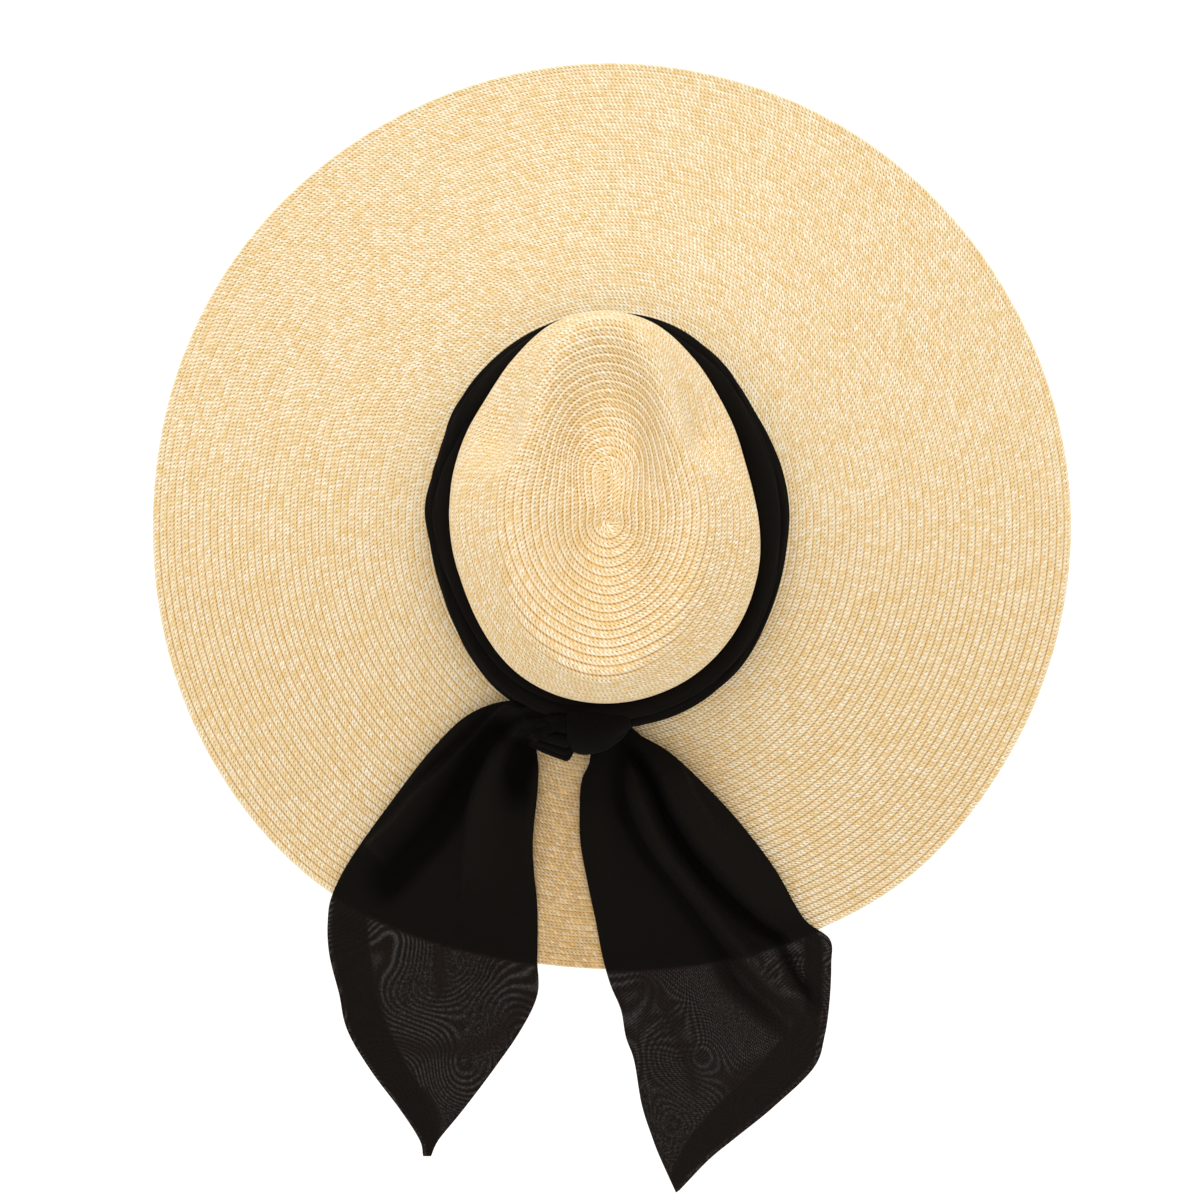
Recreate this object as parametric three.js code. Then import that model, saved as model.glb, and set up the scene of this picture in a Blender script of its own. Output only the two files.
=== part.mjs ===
// Wide-brim sun hat: a sewn straw crown and brim, with a scarf tied round the crown as a hat band.
// Millimetres, +Z up. +Y is the front of the hat, where the crown is narrow, and -Y is the back,
// where the scarf is knotted and its two tails lie over the brim and past its edge.
import * as THREE from 'three';

// ---- where the hat stands ----------------------------------------------------------------------
const HAT_X = -1.5; // the crown's axis, placed so that the origin is below the middle of the whole
const HAT_Y = 56.4;
const FOOT_HEIGHT = 56; // the crown's foot above the surface that the brim rests on
const LEAN = THREE.MathUtils.degToRad(3); // the crown leans forward, because the back brim hangs deeper
const GAP = 0.4; // between neighbouring pieces

// ---- crown -------------------------------------------------------------------------------------
const FOOT_HALF_WIDTH = 87.5;
const FOOT_HALF_LENGTH = 100.5;
const WALL = 2; // thickness of the sewn straw
const TOP_SHIFT = -3; // the crown's top sits this much to the left of its foot
const TIP_SHIFT = -0.5; // and the start of the coil this much
const TIP_CENTRE = 6; // middle of the straight start of the coil, in front of the axis
const TIP_HALF = 11; // half of its length
const TIP_HEIGHT = 79.5;
const HIP_SHARE = 0.55; // the wall's middle, as a share of the shoulder's height
const HIP_BULGE = -2.3;
const CROWN_BEARINGS = 60;
const CROWN_ROWS = 15;

// Half of the crown from the front (bearing 0) to the back (180), the other half being its mirror.
// Each pair is a distance from the axis and a height over the foot: the bottom of the hollow in the
// top, the crest round that hollow, the brow outside the crest, and the shoulder above the wall.
const CROWN_SECTIONS = [
  {
    bearing: 0, valleyR: 50, valleyZ: 85, crestR: 87.5, crestZ: 107.5,
    browR: 95, browZ: 102, shoulderR: 99, shoulderZ: 83,
  },
  {
    bearing: 15, valleyR: 42, valleyZ: 85, crestR: 77, crestZ: 107.5,
    browR: 90.5, browZ: 101, shoulderR: 97, shoulderZ: 80,
  },
  {
    bearing: 30, valleyR: 29, valleyZ: 85.3, crestR: 60.5, crestZ: 107,
    browR: 77, browZ: 97.5, shoulderR: 89, shoulderZ: 75,
  },
  {
    bearing: 45, valleyR: 20, valleyZ: 86, crestR: 51.5, crestZ: 106.5,
    browR: 68, browZ: 95.5, shoulderR: 81.5, shoulderZ: 72,
  },
  {
    bearing: 60, valleyR: 15, valleyZ: 86.8, crestR: 46.5, crestZ: 106,
    browR: 64, browZ: 94.5, shoulderR: 78, shoulderZ: 72,
  },
  {
    bearing: 75, valleyR: 12.5, valleyZ: 87.6, crestR: 44, crestZ: 105.5,
    browR: 62.5, browZ: 93, shoulderR: 76.5, shoulderZ: 73,
  },
  {
    bearing: 90, valleyR: 11.5, valleyZ: 88, crestR: 44, crestZ: 105,
    browR: 64, browZ: 91.5, shoulderR: 77.5, shoulderZ: 74,
  },
  {
    bearing: 115, valleyR: 13, valleyZ: 87.3, crestR: 48.5, crestZ: 104.5,
    browR: 69, browZ: 91, shoulderR: 83.5, shoulderZ: 72,
  },
  {
    bearing: 135, valleyR: 18, valleyZ: 86.4, crestR: 55.5, crestZ: 104,
    browR: 76, browZ: 91, shoulderR: 89.5, shoulderZ: 71,
  },
  {
    bearing: 155, valleyR: 28, valleyZ: 86, crestR: 67.5, crestZ: 103.5,
    browR: 84, browZ: 91.5, shoulderR: 94.3, shoulderZ: 70,
  },
  {
    bearing: 180, valleyR: 40, valleyZ: 86.5, crestR: 81.5, crestZ: 103.5,
    browR: 90.5, browZ: 92, shoulderR: 96.5, shoulderZ: 69,
  },
];

// The two pinches at the front of the crown. Each fades over `ahead` degrees towards the front and,
// more sharply, over `behind` degrees towards the back. At the shoulder it lies `lag` degrees
// further back than at the brow.
const PINCHES = [
  { bearing: 54, ahead: 25, behind: 12, lag: 14, narrow: 6.5, sink: 13, shoulderSink: 8 },
  { bearing: 306, ahead: 25, behind: 14, lag: 12, narrow: 5.5, sink: 11, shoulderSink: 7 },
];

// Where the wall is drawn in, or let out below zero: how far round that spreads in degrees, and by
// how much.
const WALL_DRAWS = [
  { bearing: 236, spread: 27, narrow: 5 },
  { bearing: 72, spread: 26, narrow: 2.2 },
  { bearing: 290, spread: 20, narrow: -1.2 },
];

// ---- brim --------------------------------------------------------------------------------------
const BRIM_THICKNESS = 2;
const LEVEL_EDGE = 0.035; // share of the brim's width, at its edge, that lies level
const BRIM_BEARINGS = 72;
const BRIM_ROWS = 8;

// The rim, by bearing: its distance from the crown's axis, how far its underside is off the surface,
// and the bow of the slope above it (above 0 it is steep at the crown and flattens towards the rim).
const RIM = [
  { bearing: 0, radius: 248.4, height: 0, bow: 0.5 },
  { bearing: 15, radius: 248.4, height: 0, bow: 0.5 },
  { bearing: 30, radius: 248, height: 4, bow: 0.55 },
  { bearing: 60, radius: 245.7, height: 17, bow: 0.8 },
  { bearing: 90, radius: 245.9, height: 26, bow: 0.9 },
  { bearing: 120, radius: 247.5, height: 17, bow: 0.5 },
  { bearing: 140, radius: 249.4, height: 6, bow: 0.1 },
  { bearing: 155, radius: 245.5, height: 1, bow: -0.1 },
  { bearing: 170, radius: 241.5, height: 0, bow: -0.2 },
  { bearing: 182, radius: 240.3, height: 0, bow: -0.2 },
  { bearing: 195, radius: 241.2, height: 0, bow: -0.2 },
  { bearing: 207, radius: 245.6, height: 1.5, bow: -0.1 },
  { bearing: 220, radius: 249.3, height: 6, bow: 0.1 },
  { bearing: 240, radius: 247.1, height: 17, bow: 0.5 },
  { bearing: 270, radius: 242.8, height: 26, bow: 0.9 },
  { bearing: 300, radius: 244.8, height: 18, bow: 0.8 },
  { bearing: 330, radius: 246.8, height: 4, bow: 0.55 },
  { bearing: 345, radius: 247.8, height: 0, bow: 0.5 },
];

// ---- scarf -------------------------------------------------------------------------------------
const BAND_HEIGHT = 33;
const BAND_CLEARANCE = 0.9; // between the band and the curved wall under it

// How far the band's outside stands past the crown's foot.
const BAND_FULLNESS = [
  { bearing: 0, pastFoot: 6.2 },
  { bearing: 20, pastFoot: 6.2 },
  { bearing: 38, pastFoot: 4.2 },
  { bearing: 52, pastFoot: 2.2 },
  { bearing: 62, pastFoot: 3 },
  { bearing: 75, pastFoot: 4.6 },
  { bearing: 88, pastFoot: 5.6 },
  { bearing: 113, pastFoot: 5.4 },
  { bearing: 140, pastFoot: 8.2 },
  { bearing: 162, pastFoot: 8 },
  { bearing: 184, pastFoot: 7 },
  { bearing: 205, pastFoot: 8 },
  { bearing: 213, pastFoot: 9.2 },
  { bearing: 222, pastFoot: 8.2 },
  { bearing: 235, pastFoot: 6.5 },
  { bearing: 254, pastFoot: 5.6 },
  { bearing: 272, pastFoot: 7.6 },
  { bearing: 293, pastFoot: 5.7 },
  { bearing: 306, pastFoot: 6.8 },
  { bearing: 342, pastFoot: 6.4 },
];
const BAND_PLEATS = 3.5; // folds of the cloth, one above the other
const PLEAT_DEPTH = 0.22; // of the band's thickness
const BAND_BEARINGS = 64;
const BAND_ROWS = 10;
const BAND_BACK_ROWS = 3;
const KNOT_BEARING = 183.2;
const KNOT_DIP = 9; // how much lower the band is where the knot draws it together
const KNOT_DIP_SPREAD = 15; // degrees
const CLOTH = 1.2; // thickness of the tails

// The loop of the knot, over the band from the crown's wall down to the brim: its outline in the
// plane through the axis, as distances from the crown's foot and heights over it.
const LOOP_OUTLINE = [
  { out: 1.3, up: 27 },
  { out: 5, up: 26.6 },
  { out: 8.9, up: 23 },
  { out: 9.2, up: 12 },
  { out: 9.2, up: 3 },
  { out: 12, up: -2 },
  { out: 18, up: -4 },
  { out: 22.5, up: 4 },
  { out: 23, up: 14 },
  { out: 19.5, up: 26 },
  { out: 12, up: 34 },
  { out: 4, up: 35 },
];
const LOOP_HALF_ANGLE = 8.3; // degrees either side of the knot's bearing
const LOOP_HEART = { out: 14, up: 21 }; // the point that the loop's ends close on
const STUB_ANGLES = [8.9, 17.2]; // degrees past the knot's bearing, where the gathered cloth lies
const STUB_CENTRE = { out: 18, up: 6.5 };
const STUB_HALF_DEPTH = 8.2;
const STUB_HALF_HEIGHT = 13;
const STUB_PLEATS = 7;
const STUB_PLEAT_DEPTH = 0.14;

// The tails, from the knot to the tip: the two ends of each line across the cloth, seen from above,
// from the crown's axis, and how far the cloth is held off what is below it.
const LEFT_TAIL = {
  sections: [
    { leftX: -51, leftY: -98.5, rightX: -42.5, rightY: -120, lift: 11 },
    { leftX: -74, leftY: -101.4, rightX: -37.3, rightY: -130, lift: 9 },
    { leftX: -93.5, leftY: -120, rightX: -37.5, rightY: -141.5, lift: 6 },
    { leftX: -114.6, leftY: -146.9, rightX: -40.2, rightY: -168, lift: 4.5 },
    { leftX: -135.8, leftY: -176, rightX: -39.6, rightY: -188, lift: 3.5 },
    { leftX: -147.3, leftY: -196.2, rightX: -38.4, rightY: -202, lift: 3 },
    { leftX: -151.5, leftY: -212, rightX: -38.2, rightY: -217, lift: 2.6 },
    { leftX: -151, leftY: -232, rightX: -38.6, rightY: -235, lift: 2.4 },
    { leftX: -145.6, leftY: -254, rightX: -38.5, rightY: -254, lift: 2.4 },
    { leftX: -141.3, leftY: -273.3, rightX: -47.5, rightY: -273.3, lift: 2 },
    { leftX: -128.9, leftY: -294.8, rightX: -63.1, rightY: -295.9, lift: 1.5 },
    { leftX: -112.7, leftY: -316.4, rightX: -79.5, rightY: -317.5, lift: 1 },
    { leftX: -102.3, leftY: -332.6, rightX: -91.8, rightY: -332.6, lift: 0.6 },
    { leftX: -100.3, leftY: -341.5, rightX: -96, rightY: -341.5, lift: 0.4 },
  ],
  // Each fold runs from one place on the cloth to another, both given as shares of its length and of
  // its width from the left edge; it is raised above the cloth around it, or sunk into it.
  folds: [
    { fromAlong: 0, fromAcross: 0.55, toAlong: 0.42, toAcross: 0.12, width: 0.1, rise: 8 },
    { fromAlong: 0, fromAcross: 0.75, toAlong: 0.55, toAcross: 0.62, width: 0.09, rise: -3.5 },
    { fromAlong: 0.1, fromAcross: 0.92, toAlong: 0.5, toAcross: 0.8, width: 0.1, rise: 5 },
  ],
};
const RIGHT_TAIL = {
  sections: [
    { leftX: -10.5, leftY: -126.5, rightX: 13, rightY: -124.5, lift: 8 },
    { leftX: -14.2, leftY: -135, rightX: 31, rightY: -128, lift: 7 },
    { leftX: -15.5, leftY: -146.9, rightX: 51, rightY: -140.5, lift: 5.5 },
    { leftX: -15.3, leftY: -168.7, rightX: 70, rightY: -161, lift: 4.5 },
    { leftX: -11.7, leftY: -190.6, rightX: 88.6, rightY: -184.7, lift: 4 },
    { leftX: -6.6, leftY: -216, rightX: 104.5, rightY: -212, lift: 3.2 },
    { leftX: -3.7, leftY: -232.4, rightX: 119, rightY: -224, lift: 2.8 },
    { leftX: 0.9, leftY: -249, rightX: 120, rightY: -238, lift: 2.6 },
    { leftX: 6.5, leftY: -262.5, rightX: 119.2, rightY: -257, lift: 2.4 },
    { leftX: 9.1, leftY: -277, rightX: 116.6, rightY: -276, lift: 2 },
    { leftX: 13.6, leftY: -290, rightX: 110.6, rightY: -293.8, lift: 1.8 },
    { leftX: 17.7, leftY: -313.7, rightX: 88.5, rightY: -315.3, lift: 1.5 },
    { leftX: 23.8, leftY: -332.6, rightX: 68.5, rightY: -331.5, lift: 1 },
    { leftX: 28.1, leftY: -343.4, rightX: 54, rightY: -343.4, lift: 0.7 },
    { leftX: 36.2, leftY: -361.2, rightX: 38.4, rightY: -359.6, lift: 0.4 },
  ],
  folds: [
    { fromAlong: 0, fromAcross: 0.45, toAlong: 0.62, toAcross: 0.8, width: 0.09, rise: 9 },
    { fromAlong: 0, fromAcross: 0.7, toAlong: 0.55, toAcross: 0.93, width: 0.07, rise: -2.5 },
    { fromAlong: 0.02, fromAcross: 0.2, toAlong: 0.4, toAcross: 0.45, width: 0.1, rise: -3 },
  ],
};
const TAIL_ROWS = 26;
const TAIL_COLUMNS = 12;

// ---- finishes ----------------------------------------------------------------------------------
const STRAW = { color: 0xe9cf9b, roughness: 0.75, metalness: 0 };
const BLACK_VOILE = { color: 0x131211, roughness: 0.8, metalness: 0 };

// ---- helpers -----------------------------------------------------------------------------------

// A closed surface through rows of points: each row is a closed ring, and the first and last rows
// are either folded flat on themselves or the same ring.
function skin(rows) {
  const count = rows[0].length;
  const index = [];
  for (let row = 0; row < rows.length - 1; row++) {
    for (let i = 0; i < count; i++) {
      const next = (i + 1) % count;
      const a = row * count + i;
      const b = row * count + next;
      const c = (row + 1) * count + next;
      const d = (row + 1) * count + i;
      index.push(a, b, d, b, c, d);
    }
  }
  const geometry = new THREE.BufferGeometry().setFromPoints(rows.flat());
  geometry.setIndex(index);
  return geometry;
}

function catmullRom(a, b, c, d, t) {
  const slopeB = (c - a) / 2;
  const slopeC = (d - b) / 2;
  const t2 = t * t;
  const t3 = t2 * t;
  return b * (2 * t3 - 3 * t2 + 1) + slopeB * (t3 - 2 * t2 + t) + c * (3 * t2 - 2 * t3) + slopeC * (t3 - t2);
}

// A row of a table that goes once round the hat, at any bearing. A table that ends at 180 degrees
// is mirrored.
function atBearing(table, bearing) {
  const mirrored = table.at(-1).bearing === 180;
  const turn = THREE.MathUtils.euclideanModulo(bearing, 360);
  const place = mirrored && turn > 180 ? 360 - turn : turn;
  const row = (i) => {
    if (mirrored && i < 0) return { ...table[-i], bearing: -table[-i].bearing };
    if (mirrored && i >= table.length) {
      const twin = table[2 * table.length - 2 - i];
      return { ...twin, bearing: 360 - twin.bearing };
    }
    const lap = Math.floor(i / table.length);
    const own = table[i - lap * table.length];
    return { ...own, bearing: own.bearing + 360 * lap };
  };
  let i = 0;
  while (row(i + 1).bearing <= place && i + 1 < table.length) i++;
  const [a, b, c, d] = [row(i - 1), row(i), row(i + 1), row(i + 2)];
  const t = (place - b.bearing) / (c.bearing - b.bearing);
  const mixed = {};
  for (const name of Object.keys(b)) mixed[name] = catmullRom(a[name], b[name], c[name], d[name], t);
  return mixed;
}

const onRing = (bearing, radius, z, shift = 0) => {
  const angle = THREE.MathUtils.degToRad(bearing);
  return new THREE.Vector3(shift + radius * Math.sin(angle), radius * Math.cos(angle), z);
};
const bearings = (count) => Array.from({ length: count }, (_, i) => (360 * i) / count);
const shares = (count) => Array.from({ length: count + 1 }, (_, i) => i / count);

// ---- crown -------------------------------------------------------------------------------------

function footRadius(bearing) {
  const angle = THREE.MathUtils.degToRad(bearing);
  return 1 / Math.hypot(Math.sin(angle) / FOOT_HALF_WIDTH, Math.cos(angle) / FOOT_HALF_LENGTH);
}

// How strongly a pinch acts at a bearing, where it lies `lag` degrees further back than its own.
function pinchStrength(pinch, bearing, lag) {
  const side = pinch.bearing < 180 ? 1 : -1;
  const off = THREE.MathUtils.euclideanModulo(bearing - pinch.bearing + 180, 360) - 180;
  const past = off * side - lag;
  return Math.exp(-((past / (past < 0 ? pinch.ahead : pinch.behind)) ** 2));
}

function pinchAt(bearing) {
  const pull = { narrow: 0, sink: 0, shoulderSink: 0 };
  for (const pinch of PINCHES) {
    const atBrow = pinchStrength(pinch, bearing, 0);
    pull.narrow += pinch.narrow * atBrow;
    pull.sink += pinch.sink * atBrow;
    pull.shoulderSink += pinch.shoulderSink * pinchStrength(pinch, bearing, pinch.lag);
  }
  return pull;
}

function wallDrawn(bearing) {
  let narrow = 0;
  for (const draw of WALL_DRAWS) {
    const off = THREE.MathUtils.euclideanModulo(bearing - draw.bearing + 180, 360) - 180;
    narrow += draw.narrow * Math.exp(-((off / draw.spread) ** 2));
  }
  return narrow;
}

// The crown's outside from the middle of its top down to its foot, at one bearing.
function meridian(bearing) {
  const section = atBearing(CROWN_SECTIONS, bearing);
  const pinch = pinchAt(bearing);
  const foot = footRadius(bearing);
  const shoulderZ = section.shoulderZ - pinch.shoulderSink;
  const drawn = wallDrawn(bearing);
  const shoulderR = section.shoulderR - drawn;
  const hipR = THREE.MathUtils.lerp(foot, shoulderR, HIP_SHARE) + HIP_BULGE - drawn * (1 - HIP_SHARE);
  const valleyY = section.valleyR * Math.cos(THREE.MathUtils.degToRad(bearing));
  const tip = THREE.MathUtils.clamp(valleyY, TIP_CENTRE - TIP_HALF, TIP_CENTRE + TIP_HALF);
  return new THREE.CatmullRomCurve3(
    [
      new THREE.Vector3(TIP_SHIFT, tip, TIP_HEIGHT),
      onRing(bearing, section.valleyR, section.valleyZ, TIP_SHIFT),
      onRing(bearing, section.crestR, section.crestZ, TOP_SHIFT),
      onRing(bearing, section.browR - pinch.narrow - drawn * 0.6, section.browZ - pinch.sink, TOP_SHIFT),
      onRing(bearing, shoulderR, shoulderZ, TOP_SHIFT),
      onRing(bearing, hipR, shoulderZ * (1 - HIP_SHARE), TOP_SHIFT * HIP_SHARE),
      onRing(bearing, foot, 0),
    ],
    false,
    'catmullrom',
  );
}

function crown() {
  const curves = bearings(CROWN_BEARINGS).map((bearing) => meridian(bearing).getSpacedPoints(CROWN_ROWS));
  const outside = shares(CROWN_ROWS).map((_, row) => curves.map((curve) => curve[row]));
  const inside = outside.map((ring, row) =>
    ring.map((point, i) => {
      if (row === 0) return point.clone().add(new THREE.Vector3(0, 0, -WALL));
      const round = new THREE.Vector3().subVectors(
        ring[(i + 1) % CROWN_BEARINGS],
        ring[(i + CROWN_BEARINGS - 1) % CROWN_BEARINGS],
      );
      const lower = outside[Math.min(row + 1, CROWN_ROWS)][i];
      const down = new THREE.Vector3().subVectors(lower, outside[row - 1][i]);
      const inner = round.cross(down).setLength(WALL).negate().add(point);
      if (row === CROWN_ROWS) inner.z = 0;
      return inner;
    }),
  );
  return skin([...outside, ...inside.reverse()]);
}

// The radius of the crown's wall at a height over the foot.
function wallRadius(bearing, z) {
  const points = meridian(bearing).getSpacedPoints(CROWN_ROWS * 4);
  const i = points.findLastIndex((point) => point.z >= z);
  const t = (points[i].z - z) / (points[i].z - points[i + 1].z);
  const point = points[i].clone().lerp(points[i + 1], t);
  return Math.hypot(point.x, point.y);
}

// ---- brim --------------------------------------------------------------------------------------

const footPlane = (bearing, radius) =>
  FOOT_HEIGHT - radius * Math.cos(THREE.MathUtils.degToRad(bearing)) * Math.tan(LEAN) - GAP;

// The height of the brim's upper side, at a share of the way from the crown's foot to the rim.
function brimTop(bearing, share) {
  const rim = atBearing(RIM, bearing);
  const rimTop = Math.max(rim.height, 0) + BRIM_THICKNESS;
  const t = Math.min(share / (1 - LEVEL_EDGE), 1);
  return rimTop + (footPlane(bearing, footRadius(bearing)) - rimTop) * (1 - t) * (1 - rim.bow * t);
}

function brim() {
  const round = bearings(BRIM_BEARINGS);
  const seat = [-WALL, 0].map((step) =>
    round.map((bearing) => {
      const radius = footRadius(bearing) + step;
      return onRing(bearing, radius, footPlane(bearing, radius));
    }),
  );
  const steps = [...shares(BRIM_ROWS - 1).slice(1, -1), 1 - LEVEL_EDGE, 1];
  const slope = steps.map((share) =>
    round.map((bearing) => {
      const radius = THREE.MathUtils.lerp(footRadius(bearing), atBearing(RIM, bearing).radius, share);
      return onRing(bearing, radius, brimTop(bearing, share));
    }),
  );
  const above = [...seat, ...slope];
  const lower = new THREE.Vector3(0, 0, -BRIM_THICKNESS);
  const below = above.map((ring) => ring.map((point) => point.clone().add(lower))).reverse();
  return skin([...above, ...below, above[0]]);
}

// ---- scarf band and knot, in the crown's own frame ---------------------------------------------

function scarfBand() {
  const sideRing = (share, offset) =>
    bearings(BAND_BEARINGS).map((bearing) => {
      const dip = KNOT_DIP * Math.exp(-(((bearing - KNOT_BEARING) / KNOT_DIP_SPREAD) ** 2));
      const z = GAP * 1.5 + (BAND_HEIGHT - dip) * (1 - share);
      const wall = wallRadius(bearing, z) + BAND_CLEARANCE;
      return onRing(bearing, wall + offset(bearing, share, wall), z);
    });
  const fullness = (bearing, share, wall) => {
    const turn = THREE.MathUtils.degToRad(bearing);
    const slip = 0.35 * Math.sin(turn) + 0.2 * Math.sin(3 * turn); // of a pleat, up or down
    const fold = Math.cos(2 * Math.PI * (BAND_PLEATS * share + slip));
    const round = Math.sin(Math.PI * THREE.MathUtils.clamp(share, 0.04, 0.96)) ** 0.45;
    const thickness = footRadius(bearing) + atBearing(BAND_FULLNESS, bearing).pastFoot - wall;
    return thickness * round * (1 - PLEAT_DEPTH * (1 + fold) / 2);
  };
  const outer = shares(BAND_ROWS).map((share) => sideRing(share, fullness));
  const inner = shares(BAND_BACK_ROWS).map((share) => sideRing(share, () => 0)).reverse();
  return skin([...outer, ...inner, outer[0]]);
}

// A ring in the plane through the axis, at an angle past the knot's bearing.
function knotRing(angle, outline) {
  const bearing = KNOT_BEARING + angle;
  return outline.map(({ out, up }) => onRing(bearing, footRadius(bearing) + out, up));
}

function knotLoop() {
  const stations = shares(12).map((share) => 2 * share - 1);
  const rows = stations.map((station) => {
    const fullness = (1 - Math.abs(station) ** 4) ** 0.5;
    const outline = LOOP_OUTLINE.map(({ out, up }) => ({
      out: THREE.MathUtils.lerp(LOOP_HEART.out, out, fullness),
      up: THREE.MathUtils.lerp(LOOP_HEART.up, up, fullness),
    }));
    return knotRing(LOOP_HALF_ANGLE * station, outline);
  });
  return skin(rows);
}

function knotStub() {
  const sides = STUB_PLEATS * 4;
  const rows = shares(8).map((share) => {
    const fullness = (1 - Math.abs(2 * share - 1) ** 6) ** 0.5;
    const outline = shares(sides).slice(0, sides).map((turn) => {
      const angle = 2 * Math.PI * turn;
      const pleat = 1 - STUB_PLEAT_DEPTH * (1 + Math.cos(STUB_PLEATS * angle + 2 * share)) / 2;
      return {
        out: STUB_CENTRE.out - STUB_HALF_DEPTH * fullness * pleat * Math.cos(angle),
        up: STUB_CENTRE.up - STUB_HALF_HEIGHT * fullness * pleat * Math.sin(angle),
      };
    });
    return knotRing(THREE.MathUtils.lerp(...STUB_ANGLES, share), outline);
  });
  return skin(rows);
}

// ---- scarf tails, lying on the brim and on the surface past it ---------------------------------

function groundHeight(x, y) {
  const bearing = THREE.MathUtils.radToDeg(Math.atan2(x, y));
  const rim = atBearing(RIM, bearing).radius;
  const foot = footRadius(bearing);
  const radius = Math.hypot(x, y);
  const share = (radius - foot) / (rim - foot);
  const past = THREE.MathUtils.smoothstep(radius, rim + 2, rim + 16);
  return brimTop(bearing, Math.min(share, 1)) * (1 - past);
}

function sectionAt(sections, along) {
  const place = along * (sections.length - 1);
  const i = Math.min(Math.floor(place), sections.length - 2);
  const row = (k) => sections[THREE.MathUtils.clamp(k, 0, sections.length - 1)];
  const [a, b, c, d] = [row(i - 1), row(i), row(i + 1), row(i + 2)];
  const mixed = {};
  for (const name of Object.keys(b)) mixed[name] = catmullRom(a[name], b[name], c[name], d[name], place - i);
  return mixed;
}

function foldHeight(folds, along, across) {
  let height = 0;
  for (const fold of folds) {
    const t = THREE.MathUtils.clamp((along - fold.fromAlong) / (fold.toAlong - fold.fromAlong), 0, 1);
    const centre = THREE.MathUtils.lerp(fold.fromAcross, fold.toAcross, t);
    const fade = 1 - THREE.MathUtils.smoothstep(along, fold.toAlong, fold.toAlong + 0.2);
    height += fold.rise * fade * Math.exp(-(((across - centre) / fold.width) ** 2));
  }
  return height;
}

function tail({ sections, folds }) {
  const rows = shares(TAIL_ROWS).map((along, row) => {
    const section = sectionAt(sections, along);
    const tapered = row === 0 || row === TAIL_ROWS;
    const upper = shares(TAIL_COLUMNS).map((across) => {
      const x = THREE.MathUtils.lerp(section.leftX, section.rightX, across);
      const y = THREE.MathUtils.lerp(section.leftY, section.rightY, across);
      const lift = Math.max(GAP, section.lift + foldHeight(folds, along, across));
      return new THREE.Vector3(x, y, groundHeight(x, y) + lift + CLOTH);
    });
    const lower = upper.map((point) => point.clone().setZ(point.z - (tapered ? 0 : CLOTH)));
    return [...upper.reverse(), ...lower];
  });
  return skin(rows);
}

// ---- the hat -----------------------------------------------------------------------------------

function piece(name, geometry, finish) {
  const mesh = new THREE.Mesh(geometry, new THREE.MeshStandardMaterial(finish));
  mesh.name = name;
  return mesh;
}

const crowned = new THREE.Group(); // what sits on the crown's foot, and leans with it
crowned.position.set(0, 0, FOOT_HEIGHT);
crowned.rotation.x = -LEAN;
crowned.add(
  piece('crown', crown(), STRAW),
  piece('scarf_band', scarfBand(), BLACK_VOILE),
  piece('knot_loop', knotLoop(), BLACK_VOILE),
  piece('knot_stub', knotStub(), BLACK_VOILE),
);

const hat = new THREE.Group();
hat.position.set(HAT_X, HAT_Y, 0);
hat.add(
  crowned,
  piece('brim', brim(), STRAW),
  piece('tail_left', tail(LEFT_TAIL), BLACK_VOILE),
  piece('tail_right', tail(RIGHT_TAIL), BLACK_VOILE),
);

export default hat;
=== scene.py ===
"""A wide-brim sun hat of sewn straw braid, with a sheer black scarf tied round its crown."""

import math

import bpy
import numpy as np
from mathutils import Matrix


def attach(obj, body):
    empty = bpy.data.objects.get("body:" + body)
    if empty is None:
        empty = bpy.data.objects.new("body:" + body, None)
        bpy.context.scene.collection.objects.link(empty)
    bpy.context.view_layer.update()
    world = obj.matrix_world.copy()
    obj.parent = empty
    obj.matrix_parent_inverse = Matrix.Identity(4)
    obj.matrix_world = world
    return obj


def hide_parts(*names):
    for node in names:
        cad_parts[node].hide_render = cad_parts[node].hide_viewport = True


bl_info = {
    "name": "Wide-brim sun hat",
    "version": (1, 0, 0),
    "blender": (4, 5, 0),
    "location": "View3D > Sidebar > Sun Hat",
    "description": "Makes a sewn straw sun hat with a knotted scarf, and the stage that it lies on",
    "category": "Object",
}

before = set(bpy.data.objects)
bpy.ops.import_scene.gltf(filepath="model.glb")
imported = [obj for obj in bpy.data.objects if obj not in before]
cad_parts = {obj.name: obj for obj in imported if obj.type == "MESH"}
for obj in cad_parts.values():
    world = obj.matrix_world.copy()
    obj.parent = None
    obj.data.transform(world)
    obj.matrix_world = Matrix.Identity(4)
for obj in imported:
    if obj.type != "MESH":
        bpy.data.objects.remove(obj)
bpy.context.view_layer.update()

# ---- the hat's shape, in millimetres from the crown's axis, as the solids have it ----

MM = 0.001
CROWN_AXIS = (-1.5, 56.4)  # in the row frame
FOOT_HEIGHT = 56.0
LEAN = math.radians(3)  # the crown leans forward
WALL = 2.0  # of the straw, in the solids
GAP = 0.4  # between the crown's foot and the brim
FOOT_HALF_WIDTH = 87.5
FOOT_HALF_LENGTH = 100.5
TOP_SHIFT = -3.0
TIP_SHIFT = -0.5
TIP_CENTRE = 6.0
TIP_HALF = 11.0
TIP_HEIGHT = 79.5
HIP_SHARE = 0.55
HIP_BULGE = -2.3
BROW_DRAWN = 0.6  # how much of the drawing in of the wall reaches the brow
SECTION_STEPS = 241
WALL_STEPS = 60
WALL_FROM = 0.4  # share of the way down where the wall certainly goes on
RIM_FALL = (2, 16)  # where, past the rim, the cloth begins and ends its fall to the floor
LEVEL_EDGE = 0.035
KNOT_BEARING = 183.2
KNOT_DIP = 3.0
KNOT_DIP_SPREAD = 15.0

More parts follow.
